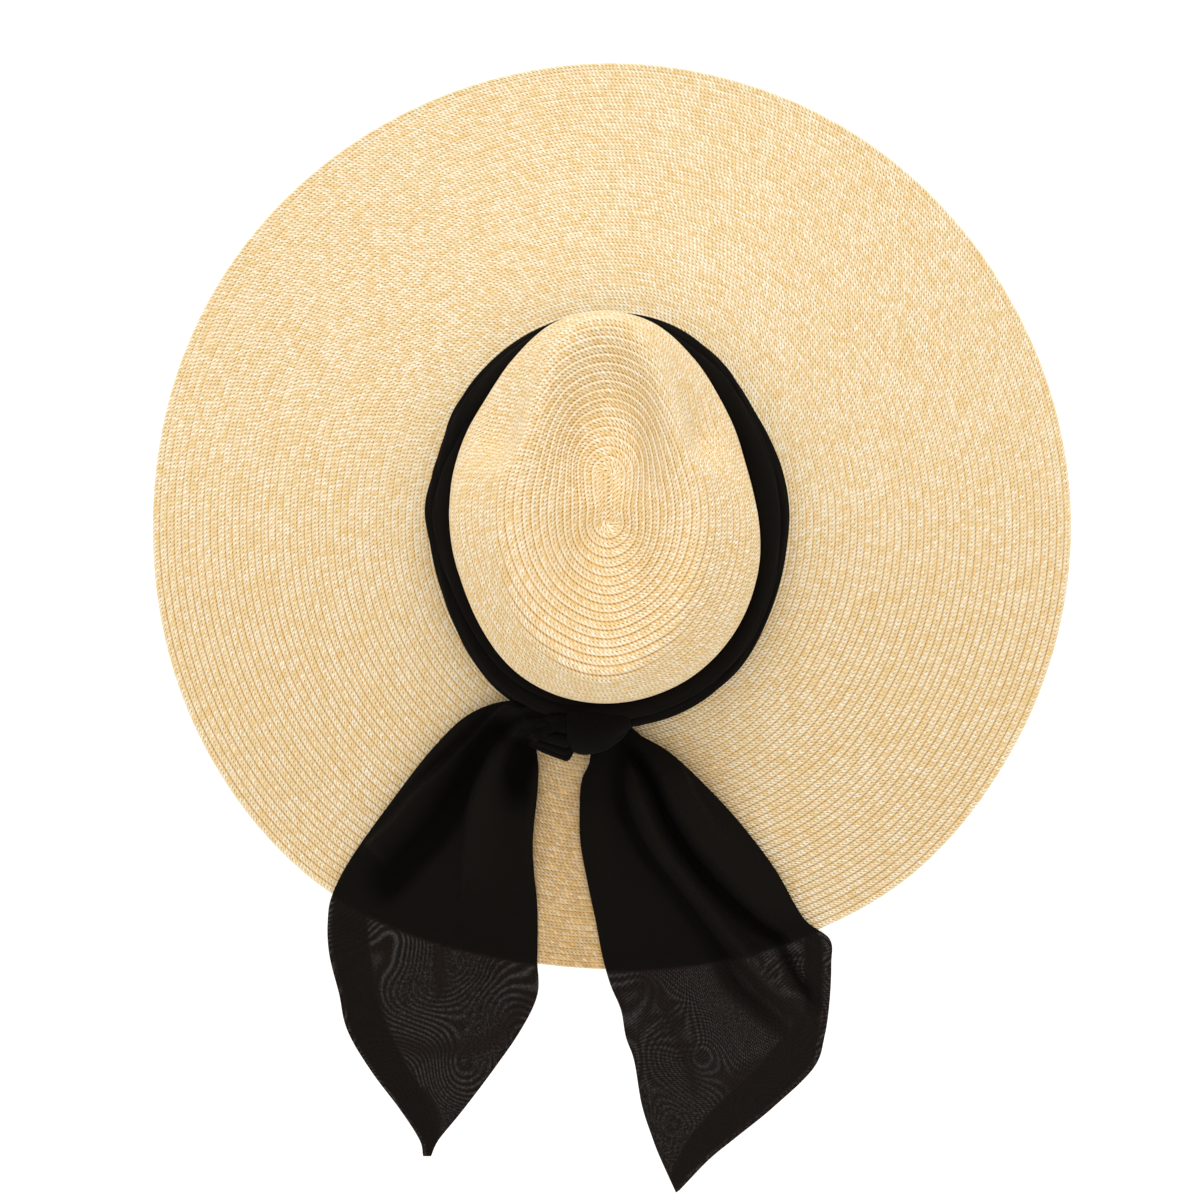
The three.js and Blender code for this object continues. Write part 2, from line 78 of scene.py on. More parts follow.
# Half of the crown from the front to the back, the other half being its mirror: distances from the
# axis and heights over the foot of the hollow's bottom, the crest, the brow and the shoulder.
CROWN_COLUMNS = (
    "bearing", "valley_r", "valley_z", "crest_r", "crest_z", "brow_r", "brow_z",
    "shoulder_r", "shoulder_z",
)
CROWN_SECTIONS = (
    (0, 50, 85, 87.5, 107.5, 95, 102, 99, 83),
    (15, 42, 85, 77, 107.5, 90.5, 101, 97, 80),
    (30, 29, 85.3, 60.5, 107, 77, 97.5, 89, 75),
    (45, 20, 86, 51.5, 106.5, 68, 95.5, 81.5, 72),
    (60, 15, 86.8, 46.5, 106, 64, 94.5, 78, 72),
    (75, 12.5, 87.6, 44, 105.5, 62.5, 93, 76.5, 73),
    (90, 11.5, 88, 44, 105, 64, 91.5, 77.5, 74),
    (115, 13, 87.3, 48.5, 104.5, 69, 91, 83.5, 72),
    (135, 18, 86.4, 55.5, 104, 76, 91, 89.5, 71),
    (155, 28, 86, 67.5, 103.5, 84, 91.5, 94.3, 70),
    (180, 40, 86.5, 81.5, 103.5, 90.5, 92, 96.5, 69),
)
PINCH_COLUMNS = ("bearing", "ahead", "behind", "lag", "narrow", "sink", "shoulder_sink")
PINCHES = (
    (54, 25, 12, 14, 6.5, 13, 8),
    (306, 25, 14, 12, 5.5, 11, 7),
)

# Where the wall is drawn in or, below nothing, let out: the bearing, how far round that spreads in
# degrees, and by how much.
DRAW_COLUMNS = ("bearing", "spread", "narrow")
WALL_DRAWS = ((236, 27, 5), (72, 26, 2.2), (290, 20, -1.2))

# The rim by bearing: distance from the axis, height of its underside, and the bow of the slope.
RIM_COLUMNS = ("bearing", "radius", "height", "bow")
RIM = (
    (0, 248.4, 0, 0.5), (15, 248.4, 0, 0.5), (30, 248, 4, 0.55), (60, 245.7, 17, 0.8),
    (90, 245.9, 26, 0.9),
    (120, 247.5, 17, 0.5), (140, 249.4, 6, 0.1), (155, 245.5, 1, -0.1), (170, 241.5, 0, -0.2),
    (182, 240.3, 0, -0.2), (195, 241.2, 0, -0.2), (207, 245.6, 1.5, -0.1), (220, 249.3, 6, 0.1),
    (240, 247.1, 17, 0.5), (270, 242.8, 26, 0.9), (300, 244.8, 18, 0.8), (330, 246.8, 4, 0.55),
    (345, 247.8, 0, 0.5),
)

# The rings of mesh in one row of braid: how far across the row each lies, and how high it stands.
BRAID_PROFILE = ((0.05, -0.35), (0.3, -0.05), (0.72, 0.15), (0.95, 0.25))
CROWN_BRAID_ROWS = 39
BRIM_BRAID_ROWS = 40
CROWN_STEPS = 200
BRIM_STEPS = 264
SLOPE_STEP = 0.02  # of a row, to either side, over which the slope is measured

# The scarf round the crown: how far its outside stands past the crown's foot, by bearing.
BAND_COLUMNS = ("bearing", "past_foot")
BAND_FULLNESS = (
    (0, 6.2), (20, 6.2), (38, 4.2), (52, 2.2), (62, 3), (75, 4.6), (88, 5.6), (100, 5), (113, 5.4),
    (126, 6.5),
    (140, 8.2), (160, 8.5), (185, 7.5), (200, 9), (213, 9.4), (222, 8.2), (235, 6.5), (248, 5.4),
    (261, 5.7),
    (272, 7.6), (282, 6.6), (293, 5.7), (306, 6.8), (325, 6.4), (342, 6.4),
)
BAND_PLEATS = 3.2
BAND_WANDER = ((0.42, 1, 0.5), (0.3, 2, 1.9), (0.12, 5, 0))  # how far, in how many waves, begun where
PLEAT_DEPTH = 0.55
PLEAT_SHARPNESS = 0.6
FINE_PLEATS = 2.7  # fine creases to a pleat
FINE_WANDER = 1.6
FINE_DEPTH = 0.1
FINE_SHARPNESS = 0.7
BAND_ROUNDING = 0.42
BAND_SWELL = 1.12
BAND_OFF_WALL = 0.6
BAND_OFF_BRIM = 0.8
BAND_SHADE = 1.05
CREASE_SHADE = 1.3
BAND_STEPS = 320
BAND_ROWS = 72

# The loop of the knot: its outline from the crown's wall over the band and down to the brim, as
# distances from the crown's foot and heights over it, and how much of it each part of its width has.
LOOP_OUTLINE = (
    (-5, 29), (-1, 32.5), (6, 34), (12, 33.5), (17.5, 29), (21.5, 21), (23, 12), (22.5, 4), (19, -2),
    (13, -4),
)
LOOP_REACH = (
    (-21.8, 0.97), (-21, 1), (-15, 1), (-10, 0.97), (-5, 0.86), (0, 0.72), (4, 0.57), (8, 0.36),
    (10.3, 0.16), (11.2, 0.05),
)
LOOP_HEART = (7, 14)
LOOP_CURL = 3.5
LOOP_CURL_SHARPNESS = 7
LOOP_CURL_IN = (0.3, 0.6)  # from here down the outline, the edges curl in
LOOP_CURL_DOWN = (0.5, 0.8)  # and up to here they curl down
LOOP_GATHER = (0.12, 0.5)  # where the drawing towards the heart begins and is full
LOOP_DRAPE = 0.3
LOOP_DRAPE_WAVES = (0.5, 4)  # across the loop and down it
LOOP_ROWS = 57
LOOP_STEPS = 61
LOOP_SHADE = 0.66

# The cloth that is wrapped under the loop and shows left of it, in the same way.
WRAP_OUTLINE = (
    (-4, 27), (1, 31), (8, 33), (15, 31.5), (22, 25), (26.5, 16), (28.5, 6), (27, -2), (19, -6),
)
WRAP_HEART = (30, 2)
WRAP_FROM = -18.0
WRAP_TO = -42.0
WRAP_PLEATS = 8
WRAP_DRIFT = 0.3
WRAP_WANDER = (0.25, 9)
WRAP_PLEAT_DEPTH = 3.2
WRAP_PLEAT_SHARPNESS = 0.6
WRAP_NARROWING = 0.35
WRAP_CLOSING = (0.96, 8)  # how far it closes at its end, and how suddenly
WRAP_TUCK = 7.0
WRAP_TUCK_SHARE = 0.2  # of its length, that is tucked under the loop
IN_THE_WALL = -0.8  # past the crown's foot: how far in the wrap's hidden edge may go
WRAP_ROWS = 57
WRAP_STEPS = 121
WRAP_SHADE = 0.72
WRAP_PLEAT_SHADE = 0.6

# The tails, from the knot to the tip: the two ends of each line across the cloth, seen from above,
# and how far the cloth is held off what is below it.
TAIL_COLUMNS = ("left_x", "left_y", "right_x", "right_y", "lift")
LEFT_TAIL = (
    (-20, -100.5, -20, -107, 35), (-27.5, -99.5, -30, -110, 34), (-37.8, -95.5, -38, -115.5, 30),
    (-52.7, -93.5, -38.5, -119.5, 21), (-74, -101.4, -37.3, -130, 12), (-93.5, -120, -37.5, -141.5, 8),
    (-114.6, -146.9, -40.2, -168, 6), (-135.8, -176, -39.6, -188, 5), (-147.3, -196.2, -38.4, -202, 4),
    (-151.5, -212, -38.2, -217, 3.4), (-151, -232, -38.6, -235, 2.8), (-145.6, -254, -38.5, -254, 2.6),
    (-141.3, -273.3, -47.5, -273.3, 2.4), (-128.9, -294.8, -63.1, -295.9, 2),
    (-112.7, -316.4, -79.5, -317.5, 1.6),
    (-102.3, -332.6, -91.8, -332.6, 1.4), (-100.3, -341.5, -96, -341.5, 1.2),
)
RIGHT_TAIL = (
    (-9.5, -117, 9.5, -105, 14), (-10.5, -126.5, 17, -112, 12), (-14.2, -135, 32, -121, 10),
    (-15.5, -146.9, 51, -139, 8), (-15.3, -168.7, 70, -160, 6), (-11.7, -190.6, 88.6, -184.7, 5),
    (-6.6, -216, 104.5, -212, 4), (-3.7, -232.4, 119, -224, 3.4), (0.9, -249, 120, -238, 3),
    (6.5, -262.5, 119.2, -257, 2.6), (9.1, -277, 116.6, -276, 2.4), (13.6, -290, 110.6, -293.8, 2),
    (17.7, -313.7, 88.5, -315.3, 1.8), (23.8, -332.6, 68.5, -331.5, 1.6),
    (28.1, -343.4, 54, -343.4, 1.4),
    (36.2, -361.2, 38.4, -359.6, 1.2),
)

# A fold of a tail: its line seen from above, how far the cloth is raised along it, and how widely
# that spreads to the left and to the right of someone who looks along the line.
FOLD_COLUMNS = ("rise", "left", "right", "fade_in", "fade_out", "line")
LEFT_FOLDS = (
    (11, 16, 2.4, 0.1, 0.05, ((-40, -97), (-55, -99), (-69.5, -112.5), (-83.5, -127), (-101.5, -144),
     (-115, -160), (-130, -174))),
    (6, 6, 6, 0.3, 0.3, ((-50, -94), (-77.5, -108.5), (-96, -126), (-114, -149), (-126, -168))),
    (-11, 5, 13, 0.1, 0.15, ((-46, -99), (-60, -114), (-68, -127), (-76, -140.5), (-88, -163),
     (-104, -181), (-126, -207))),
    (12, 22, 3, 0.25, 0.35, ((-46, -103), (-57.5, -117.5), (-68, -139), (-73.5, -163.5),
     (-76.5, -190.5), (-79, -215))),
    (-11, 7, 8, 0.1, 0.6, ((-41, -112), (-43, -121), (-47.5, -133.5), (-48, -148), (-46, -160))),
    (4, 5, 5, 0.3, 0.4, ((-39.5, -128), (-41, -163), (-40, -205))),
    (-3.5, 2.5, 2.5, 0.1, 0.3, ((-27, -97), (-36.5, -100), (-47, -102), (-54.5, -107), (-62.5, -116))),
    (-3, 2, 3, 0.1, 0.3, ((-29, -103), (-34, -105.5), (-44, -112), (-51, -122.5), (-54, -140))),
    (2.2, 5, 3, 0.3, 0.4, ((-90, -214), (-90.5, -235), (-91, -254))),
    (2, 4, 4, 0.3, 0.3, ((-121, -279), (-96, -283.5), (-68.5, -280.5), (-57, -272.5), (-43.5, -256.5))),
)
RIGHT_FOLDS = (
    (-5, 2.8, 4.5, 0.1, 0.15, ((6, -108), (7.5, -117), (7, -129.5), (7, -141), (10.5, -155),
     (21.5, -176), (36.5, -195.5), (51.5, -217), (61.5, -232.5), (69, -248), (81, -260.5), (98, -276))),
    (12, 5.5, 6, 0.2, 0.2, ((6, -110), (9, -121), (14.5, -139.5), (26, -167.5), (43.5, -193),
     (61.5, -217), (73, -231), (81, -243), (95, -259.5), (103, -268.5))),
    (-10, 3.2, 2.8, 0.1, 0.1, ((8.5, -112), (12, -120.5), (22, -135.5), (30, -155.5), (44, -179.5),
     (61, -199), (80, -217), (92, -226), (102, -246), (114, -262.5))),
    (12, 18, 6, 0.25, 0.3, ((12, -108), (22, -121.5), (34, -145), (46.5, -165.5), (63, -186),
     (85, -210), (104, -229.5))),
    (5, 1.6, 9, 0.3, 0.5, ((30, -121), (36.5, -127), (45, -145), (58, -164), (69, -177))),
    (3, 8, 8, 0.3, 0.4, ((-6.5, -126), (-6, -157.5), (3, -190), (16, -218))),
    (2.4, 5, 3, 0.3, 0.3, ((19.5, -247), (30.5, -260.5), (41.5, -286.5), (46, -305.5))),
)

# Where the cloth lies double or is hemmed, and so hides what is behind it: a line seen from above,
# half of its width at either end, and how much it hides.
COVER_COLUMNS = ("start_width", "end_width", "cover", "blur", "line")
LEFT_COVERS = (
    (15, 6, 0.86, 0.7, ((-139, -170), (-142.5, -213.5), (-138.5, -240.5), (-131, -267.5),
     (-119, -291.5), (-107, -310.5), (-98.5, -332), (-97.5, -345))),
    (3.5, 3, 0.75, 3.5, ((-90, -205), (-90.5, -235), (-91, -252.5))),
    (4, 4, 0.6, 4, ((-121, -279), (-96, -283.5), (-68.5, -280.5), (-57, -272.5), (-43.5, -256.5))),
    (5, 6, 0.8, 1, ((-101.5, -309), (-96.5, -321.5), (-97.5, -337.5))),
    (0.5, 0.5, 0.7, 0.6, ((-110.5, -300.5), (-99.5, -289.5))),
)
RIGHT_COVERS = (
    (5, 5, 0.86, 0.7, ((109.5, -217), (110.5, -240.5), (110.5, -262))),
    (6, 13, 0.8, 0.9, ((38.5, -354), (49, -336), (68, -317), (90, -298.5), (108, -279))),
    (5, 5, 0.6, 3, ((66, -302), (73.5, -297), (91.5, -288), (106, -272))),
    (4, 3, 0.6, 4, ((19.5, -247), (30.5, -260.5), (41.5, -286.5), (46, -305.5))),
    (4, 5, 0.8, 2.5, ((64, -232), (74, -241), (85, -252.5), (104, -268.5))),
    (3.5, 3.5, 0.8, 2, ((90.5, -225), (101, -246), (114, -262.5))),
    (6, 5, 0.8, 3, ((58, -232.5), (66, -248), (79, -260.5), (97.5, -277))),
)
EDGE_COVER = -1.3  # a thin open strip along a tail's outer edge
EDGE_BLUR = 0.5
BRIM_COVER = (0.5, 2.5)  # the cloth hides all that is behind it up to here past the rim
TAIL_STEPS = 230
TAIL_ACROSS = 110
LINE_STEPS = 12  # of a fold's smooth line to each of its points
FADE_PAST = 0.02  # how far past its line's ends a fold fades
TAIL_RIPPLE = 0.35
RIPPLE_WAVES = (0.31, 0.12, 0.23, 0.1)
EDGE_DROOP = 1.2
EDGE_DROOP_SHARPNESS = 6
LOWEST_LIFT = 1.7  # of the cloth's upper side over the brim
FLOOR_DROP = 0.8  # how much less that is on the floor
FLOOR_REACH = (3, 14)
VOILE_THICKNESS = 0.7

# Painted light and shade on a tail's cloth: how much lighter, as a painted highlight, it is for each
# millimetre of a crest, how much darker, as painted shade, for each of a valley, and how much darker
# it is at the knot.
CREST_SHADE = 0.018
VALLEY_SHADE = 0.1
ROOT_SHADE = 0.5
ROOT_REACH = 0.3
SHADES = (0.3, 1.5)


class HatSizes(bpy.types.PropertyGroup):
    """Sizes of the hat that can be changed without its solids."""

    straw_thickness: bpy.props.FloatProperty(
        name="Straw thickness", description="Thickness of the sewn braid", default=0.0018,
        min=0.001, max=0.003, unit="LENGTH",
    )
    strand_width: bpy.props.FloatProperty(
        name="Strand width", description="Width of one strand of the plait, in millimetres",
        default=2.2, min=0.5, max=4,
    )
    band_height: bpy.props.FloatProperty(
        name="Band height", description="Height of the scarf round the crown", default=0.037,
        min=0.02, max=0.04, unit="LENGTH",
    )
    camera_height: bpy.props.FloatProperty(
        name="Camera height", description="Height of the camera over the floor", default=1.9,
        min=1, max=4, unit="LENGTH",
    )


def colour_choice(name, description, default):
    return bpy.props.FloatVectorProperty(
        name=name, description=description, subtype="COLOR", default=default, min=0, max=1,
    )


class HatColours(bpy.types.PropertyGroup):
    """Colours of the straw and of the scarf."""

    # Pale also paints a highlight on each row's raised edge; amber and gap also paint shade on the
    # strands' sides, in the seams and holes, and in the tails' shadow on the brim.
    pale: colour_choice("Pale strand", "The nearly white strands", (1.0, 0.97, 0.82))
    cream: colour_choice("Cream strand", "Most of the strands", (0.955, 0.855, 0.57))
    tan: colour_choice("Tan strand", "The darker strands, and the streaks on all", (0.88, 0.68, 0.34))
    amber: colour_choice("Amber edge", "The strands' sides, and the seams between rows", (0.67, 0.37, 0.1))
    gap: colour_choice("Gap", "The gaps between strands", (0.2, 0.1, 0.02))
    voile: colour_choice("Scarf", "The scarf's cloth", (0.0058, 0.0049, 0.0043))
    # Single-layer cloth is given this lighter, warmer colour: painted light that the bright floor sends
    # through it.
    backlit_voile: colour_choice(
        "Open scarf", "The scarf's cloth where it is a single layer", (0.0115, 0.0082, 0.007)
    )


# ---- smooth tables ----


def hermite(a, b, c, d, t):
    """The smooth curve through b and c whose slopes there come from their neighbours a and d."""
    t2 = t * t
    t3 = t2 * t
    leaving = (c - a) / 2 * (t3 - 2 * t2 + t)
    reaching = (d - b) / 2 * (t3 - t2)
    return b * (2 * t3 - 3 * t2 + 1) + leaving + c * (3 * t2 - 2 * t3) + reaching


def round_table(columns, rows, bearing):
    """The columns of a table that goes once round the hat, at an array of bearings in degrees."""
    data = np.array(rows, float)
    turn = np.mod(bearing, 360.0)
    if data[-1, 0] == 180:
        turn = np.where(turn > 180, 360 - turn, turn)
        before = data[1] * np.where(np.arange(data.shape[1]) == 0, -1, 1)
        after = data[-2].copy()
        after[0] = 360 - after[0]
        data = np.vstack([before, data, after])
    else:
        lap = np.zeros(data.shape[1])
        lap[0] = 360
        data = np.vstack([data[-1] - lap, data, data[0] + lap, data[1] + lap])
    i = np.clip(np.searchsorted(data[:, 0], turn, side="right") - 1, 1, len(data) - 3)
    t = ((turn - data[i, 0]) / (data[i + 1, 0] - data[i, 0]))[..., None]
    mixed = hermite(data[i - 1], data[i], data[i + 1], data[i + 2], t)
    return {name: mixed[..., k] for k, name in enumerate(columns)}


def smooth_points(points, share):
    """Points on the curve through `points` (first axis) at shares of the number of its spans."""
    ends = np.concatenate([2 * points[:1] - points[1:2], points, 2 * points[-1:] - points[-2:-1]])
    place = np.clip(np.asarray(share, float) * (len(points) - 1), 0, len(points) - 1 - 1e-9)
    i = place.astype(int)
    t = (place - i).reshape((-1,) + (1,) * (points.ndim - 1))
    return hermite(ends[i], ends[i + 1], ends[i + 2], ends[i + 3], t)


def on_ring(bearing, radius, z, shift=0.0):
    angle = np.radians(bearing)
    x = shift + radius * np.sin(angle)
    return np.stack(np.broadcast_arrays(x, radius * np.cos(angle), z), axis=-1)


def smoothstep(low, high, x):
    t = np.clip((x - low) / (high - low), 0, 1)
    return t * t * (3 - 2 * t)


# ---- the crown's and the brim's surfaces ----


def foot_radius(bearing):
    angle = np.radians(bearing)
    return 1 / np.hypot(np.sin(angle) / FOOT_HALF_WIDTH, np.cos(angle) / FOOT_HALF_LENGTH)


def pinches_at(bearing):
    pull = {"narrow": 0, "sink": 0, "shoulder_sink": 0}
    for row in PINCHES:
        pinch = dict(zip(PINCH_COLUMNS, row))
        side = 1 if pinch["bearing"] < 180 else -1
        off = (np.mod(bearing - pinch["bearing"] + 180, 360) - 180) * side
        for name, lag in (("narrow", 0), ("sink", 0), ("shoulder_sink", pinch["lag"])):
            past = off - lag
            spread = np.where(past < 0, pinch["ahead"], pinch["behind"])
            pull[name] = pull[name] + pinch[name] * np.exp(-((past / spread) ** 2))
    return pull


def wall_drawn(bearing):
    narrow = 0
    for row in WALL_DRAWS:
        draw = dict(zip(DRAW_COLUMNS, row))
        off = np.mod(bearing - draw["bearing"] + 180, 360) - 180
        narrow = narrow + draw["narrow"] * np.exp(-((off / draw["spread"]) ** 2))
    return narrow


def crown_surface(bearing, down):
    """Points on the crown's outside: `down` runs from 0 at the tip to 1 at the foot, evenly."""
    section = round_table(CROWN_COLUMNS, CROWN_SECTIONS, bearing)
    pinch = pinches_at(bearing)
    foot = foot_radius(bearing)
    shoulder_z = section["shoulder_z"] - pinch["shoulder_sink"]
    drawn = wall_drawn(bearing)
    shoulder = section["shoulder_r"] - drawn
    hip = foot + (shoulder - foot) * HIP_SHARE + HIP_BULGE - drawn * (1 - HIP_SHARE)
    brow = section["brow_r"] - pinch["narrow"] - drawn * BROW_DRAWN
    valley_y = section["valley_r"] * np.cos(np.radians(bearing))
    tip_y = np.clip(valley_y, TIP_CENTRE - TIP_HALF, TIP_CENTRE + TIP_HALF)
    stations = np.stack([
        np.stack([np.full_like(tip_y, TIP_SHIFT), tip_y, np.full_like(tip_y, TIP_HEIGHT)], axis=-1),
        on_ring(bearing, section["valley_r"], section["valley_z"], TIP_SHIFT),
        on_ring(bearing, section["crest_r"], section["crest_z"], TOP_SHIFT),
        on_ring(bearing, brow, section["brow_z"] - pinch["sink"], TOP_SHIFT),
        on_ring(bearing, shoulder, shoulder_z, TOP_SHIFT),
        on_ring(bearing, hip, shoulder_z * (1 - HIP_SHARE), TOP_SHIFT * HIP_SHARE),
        on_ring(bearing, foot, 0.0),
    ])
    fine = smooth_points(stations, np.linspace(0, 1, SECTION_STEPS))
    run = np.concatenate([
        np.zeros((1, len(bearing))),
        np.cumsum(np.linalg.norm(np.diff(fine, axis=0), axis=-1), axis=0),
    ])
    surface = np.empty((len(down), len(bearing), 3))
    for column in range(len(bearing)):
        for axis in range(3):
            stops = down * run[-1, column]
            surface[:, column, axis] = np.interp(stops, run[:, column], fine[:, column, axis])
    return surface


def wall_radius(bearing, z):
    """The radius of the crown's wall at heights over the foot, for matching arrays of bearings."""
    down = np.linspace(WALL_FROM, 1, WALL_STEPS)
    surface = crown_surface(bearing, down)
    radius = np.hypot(surface[..., 0], surface[..., 1])
    found = np.empty(np.shape(z))
    for column in range(len(bearing)):
        found[..., column] = np.interp(z[..., column], surface[::-1, column, 2], radius[::-1, column])
    return found


def brim_top(bearing, share):
    rim = round_table(RIM_COLUMNS, RIM, bearing)
    rim_top = np.maximum(rim["height"], 0) + WALL
    foot = foot_radius(bearing)
    foot_top = FOOT_HEIGHT - foot * np.cos(np.radians(bearing)) * math.tan(LEAN) - GAP
    t = np.minimum(share / (1 - LEVEL_EDGE), 1)
    return rim_top + (foot_top - rim_top) * (1 - t) * (1 - rim["bow"] * t)


def brim_surface(bearing, out):
    """Points on the brim's upper side: `out` runs from 0 at the crown's foot to 1 at the rim."""
    foot = foot_radius(bearing)
    rim = round_table(RIM_COLUMNS, RIM, bearing)["radius"]
    radius = foot + (rim - foot) * out[:, None]
    return on_ring(bearing, radius, brim_top(bearing, out[:, None]))


def ground_under(x, y):
    """The height of the brim or of the floor under points, and how far they are past the rim."""
    bearing = np.degrees(np.arctan2(x, y))
    rim = round_table(RIM_COLUMNS, RIM, bearing)["radius"]
    foot = foot_radius(bearing)
    past_rim = np.hypot(x, y) - rim
    share = np.minimum(1 + past_rim / (rim - foot), 1)
    return brim_top(bearing, share) * (1 - smoothstep(*RIM_FALL, past_rim)), past_rim


# ---- the scarf's surfaces ----


def band_surface(bearing, share):
    """The scarf round the crown, from its top edge to its bottom, and the painted shade in its creases."""
    dip = KNOT_DIP * np.exp(-(((bearing - KNOT_BEARING) / KNOT_DIP_SPREAD) ** 2))
    height = bpy.context.scene.hat_sizes.band_height / MM
    z = BAND_OFF_BRIM + (height - dip) * (1 - share[:, None])
    wall = wall_radius(bearing, z) + BAND_OFF_WALL
    turn = np.radians(bearing)
    wander = sum(size * np.sin(waves * turn + start) for size, waves, start in BAND_WANDER)
    fold = np.abs(np.sin(math.pi * (BAND_PLEATS * share[:, None] + wander)))
    fine = np.abs(np.sin(math.pi * (FINE_PLEATS * BAND_PLEATS * share[:, None] - FINE_WANDER * wander)))
    crease = (1 - fold ** PLEAT_SHARPNESS) * PLEAT_DEPTH + (1 - fine ** FINE_SHARPNESS) * FINE_DEPTH
    rounded = np.sin(math.pi * np.clip(share[:, None], 0, 1)) ** BAND_ROUNDING
    past = round_table(BAND_COLUMNS, BAND_FULLNESS, bearing)["past_foot"]
    full = foot_radius(bearing) + past * BAND_SWELL - wall
    points = on_ring(bearing, wall + full * rounded * (1 - crease), z)
    return points, {"shade": BAND_SHADE - CREASE_SHADE * crease}


def knot_frame(x, out, up):
    """Points of the knot, from how far right of the axis they are and how far past the crown's foot."""
    y = FOOT_HALF_LENGTH * np.sqrt(np.clip(1 - (x / FOOT_HALF_WIDTH) ** 2, 0, 1)) + out
    return np.stack(np.broadcast_arrays(x, -y, up), axis=-1)


def loop_surface():
    """The loop: rows from its left edge to its right, each from the crown's wall down to the brim."""
    share = np.linspace(0, 1, LOOP_ROWS)
    place = np.linspace(0, 1, LOOP_STEPS)
    across = smooth_points(np.array(LOOP_REACH, float), share)
    outline = smooth_points(np.array(LOOP_OUTLINE, float), place)
    place = place[None, :]
    x = across[:, :1]
    pull = (1 - across[:, 1:]) * smoothstep(*LOOP_GATHER, place)
    curl = LOOP_CURL * np.abs(2 * share - 1)[:, None] ** LOOP_CURL_SHARPNESS
    by_x, by_place = LOOP_DRAPE_WAVES
    drape = LOOP_DRAPE * np.sin(x * by_x + place * by_place) * np.sin(math.pi * place)
    out = outline[None, :, 0] * (1 - pull) + LOOP_HEART[0] * pull
    out = out + drape - curl * smoothstep(*LOOP_CURL_IN, place)
    up = outline[None, :, 1] * (1 - pull) + LOOP_HEART[1] * pull
    up = up - curl * (1 - smoothstep(*LOOP_CURL_DOWN, place))
    return knot_frame(x, out, up), {"shade": np.full(out.shape, LOOP_SHADE)}


def wrap_surface():
    """The gathered cloth left of the loop, whose pleats fan out from the loop's edge."""
    along = np.linspace(0, 1, WRAP_ROWS)[:, None]
    place = np.linspace(0, 1, WRAP_STEPS)
    outline = smooth_points(np.array(WRAP_OUTLINE, float), place)
    x = WRAP_FROM + (WRAP_TO - WRAP_FROM) * along
    closing, suddenness = WRAP_CLOSING
    scale = (1 - WRAP_NARROWING * along) * np.sqrt(1 - closing * along ** suddenness)
    slope = np.gradient(outline, axis=0)
    normal = np.stack([-slope[:, 1], slope[:, 0]], axis=-1)
    normal /= np.linalg.norm(normal, axis=-1, keepdims=True)
    size, waves = WRAP_WANDER
    wander = size * np.sin(waves * place[None, :])
    phase = WRAP_PLEATS * place[None, :] + WRAP_DRIFT * along + wander
    depth = WRAP_PLEAT_DEPTH * (np.abs(np.sin(math.pi * phase)) ** WRAP_PLEAT_SHARPNESS - 1)
    out = (outline[None, :, 0] + normal[None, :, 0] * depth - WRAP_HEART[0]) * scale + WRAP_HEART[0]
    up = (outline[None, :, 1] + normal[None, :, 1] * depth - WRAP_HEART[1]) * scale + WRAP_HEART[1]
    tucked = out - WRAP_TUCK * np.clip(1 - along / WRAP_TUCK_SHARE, 0, 1) ** 2
    out = np.maximum(tucked, np.minimum(out, IN_THE_WALL))
    # Painted shade in the hollows of the pleats.
    shade = np.broadcast_to(WRAP_SHADE + WRAP_PLEAT_SHADE * depth / WRAP_PLEAT_DEPTH, out.shape)
    return knot_frame(x, out, up), {"shade": shade}


def line_distance(points, line):
    """How far points are from a smooth line seen from above, on which side, and how far along it."""
    track = smooth_points(np.array(line, float), np.linspace(0, 1, LINE_STEPS * len(line)))
    start, end = track[:-1], track[1:]
    span = end - start
    length = np.linalg.norm(span, axis=1)
    run = np.concatenate([[0], np.cumsum(length)]) / length.sum()
    best = np.full(points.shape[:-1], np.inf)
    side = np.zeros(points.shape[:-1])
    along = np.zeros(points.shape[:-1])
    for number, stretch in enumerate(span):
        off = points - start[number]
        t = np.clip((off @ stretch) / length[number] ** 2, 0, 1)
        gap = off - t[..., None] * stretch
        far = np.linalg.norm(gap, axis=-1)
        near = far < best
        best = np.where(near, far, best)
        side = np.where(near, np.sign(stretch[0] * off[..., 1] - stretch[1] * off[..., 0]), side)
        along = np.where(near, run[number] + t * (run[number + 1] - run[number]), along)
    return best, side, along


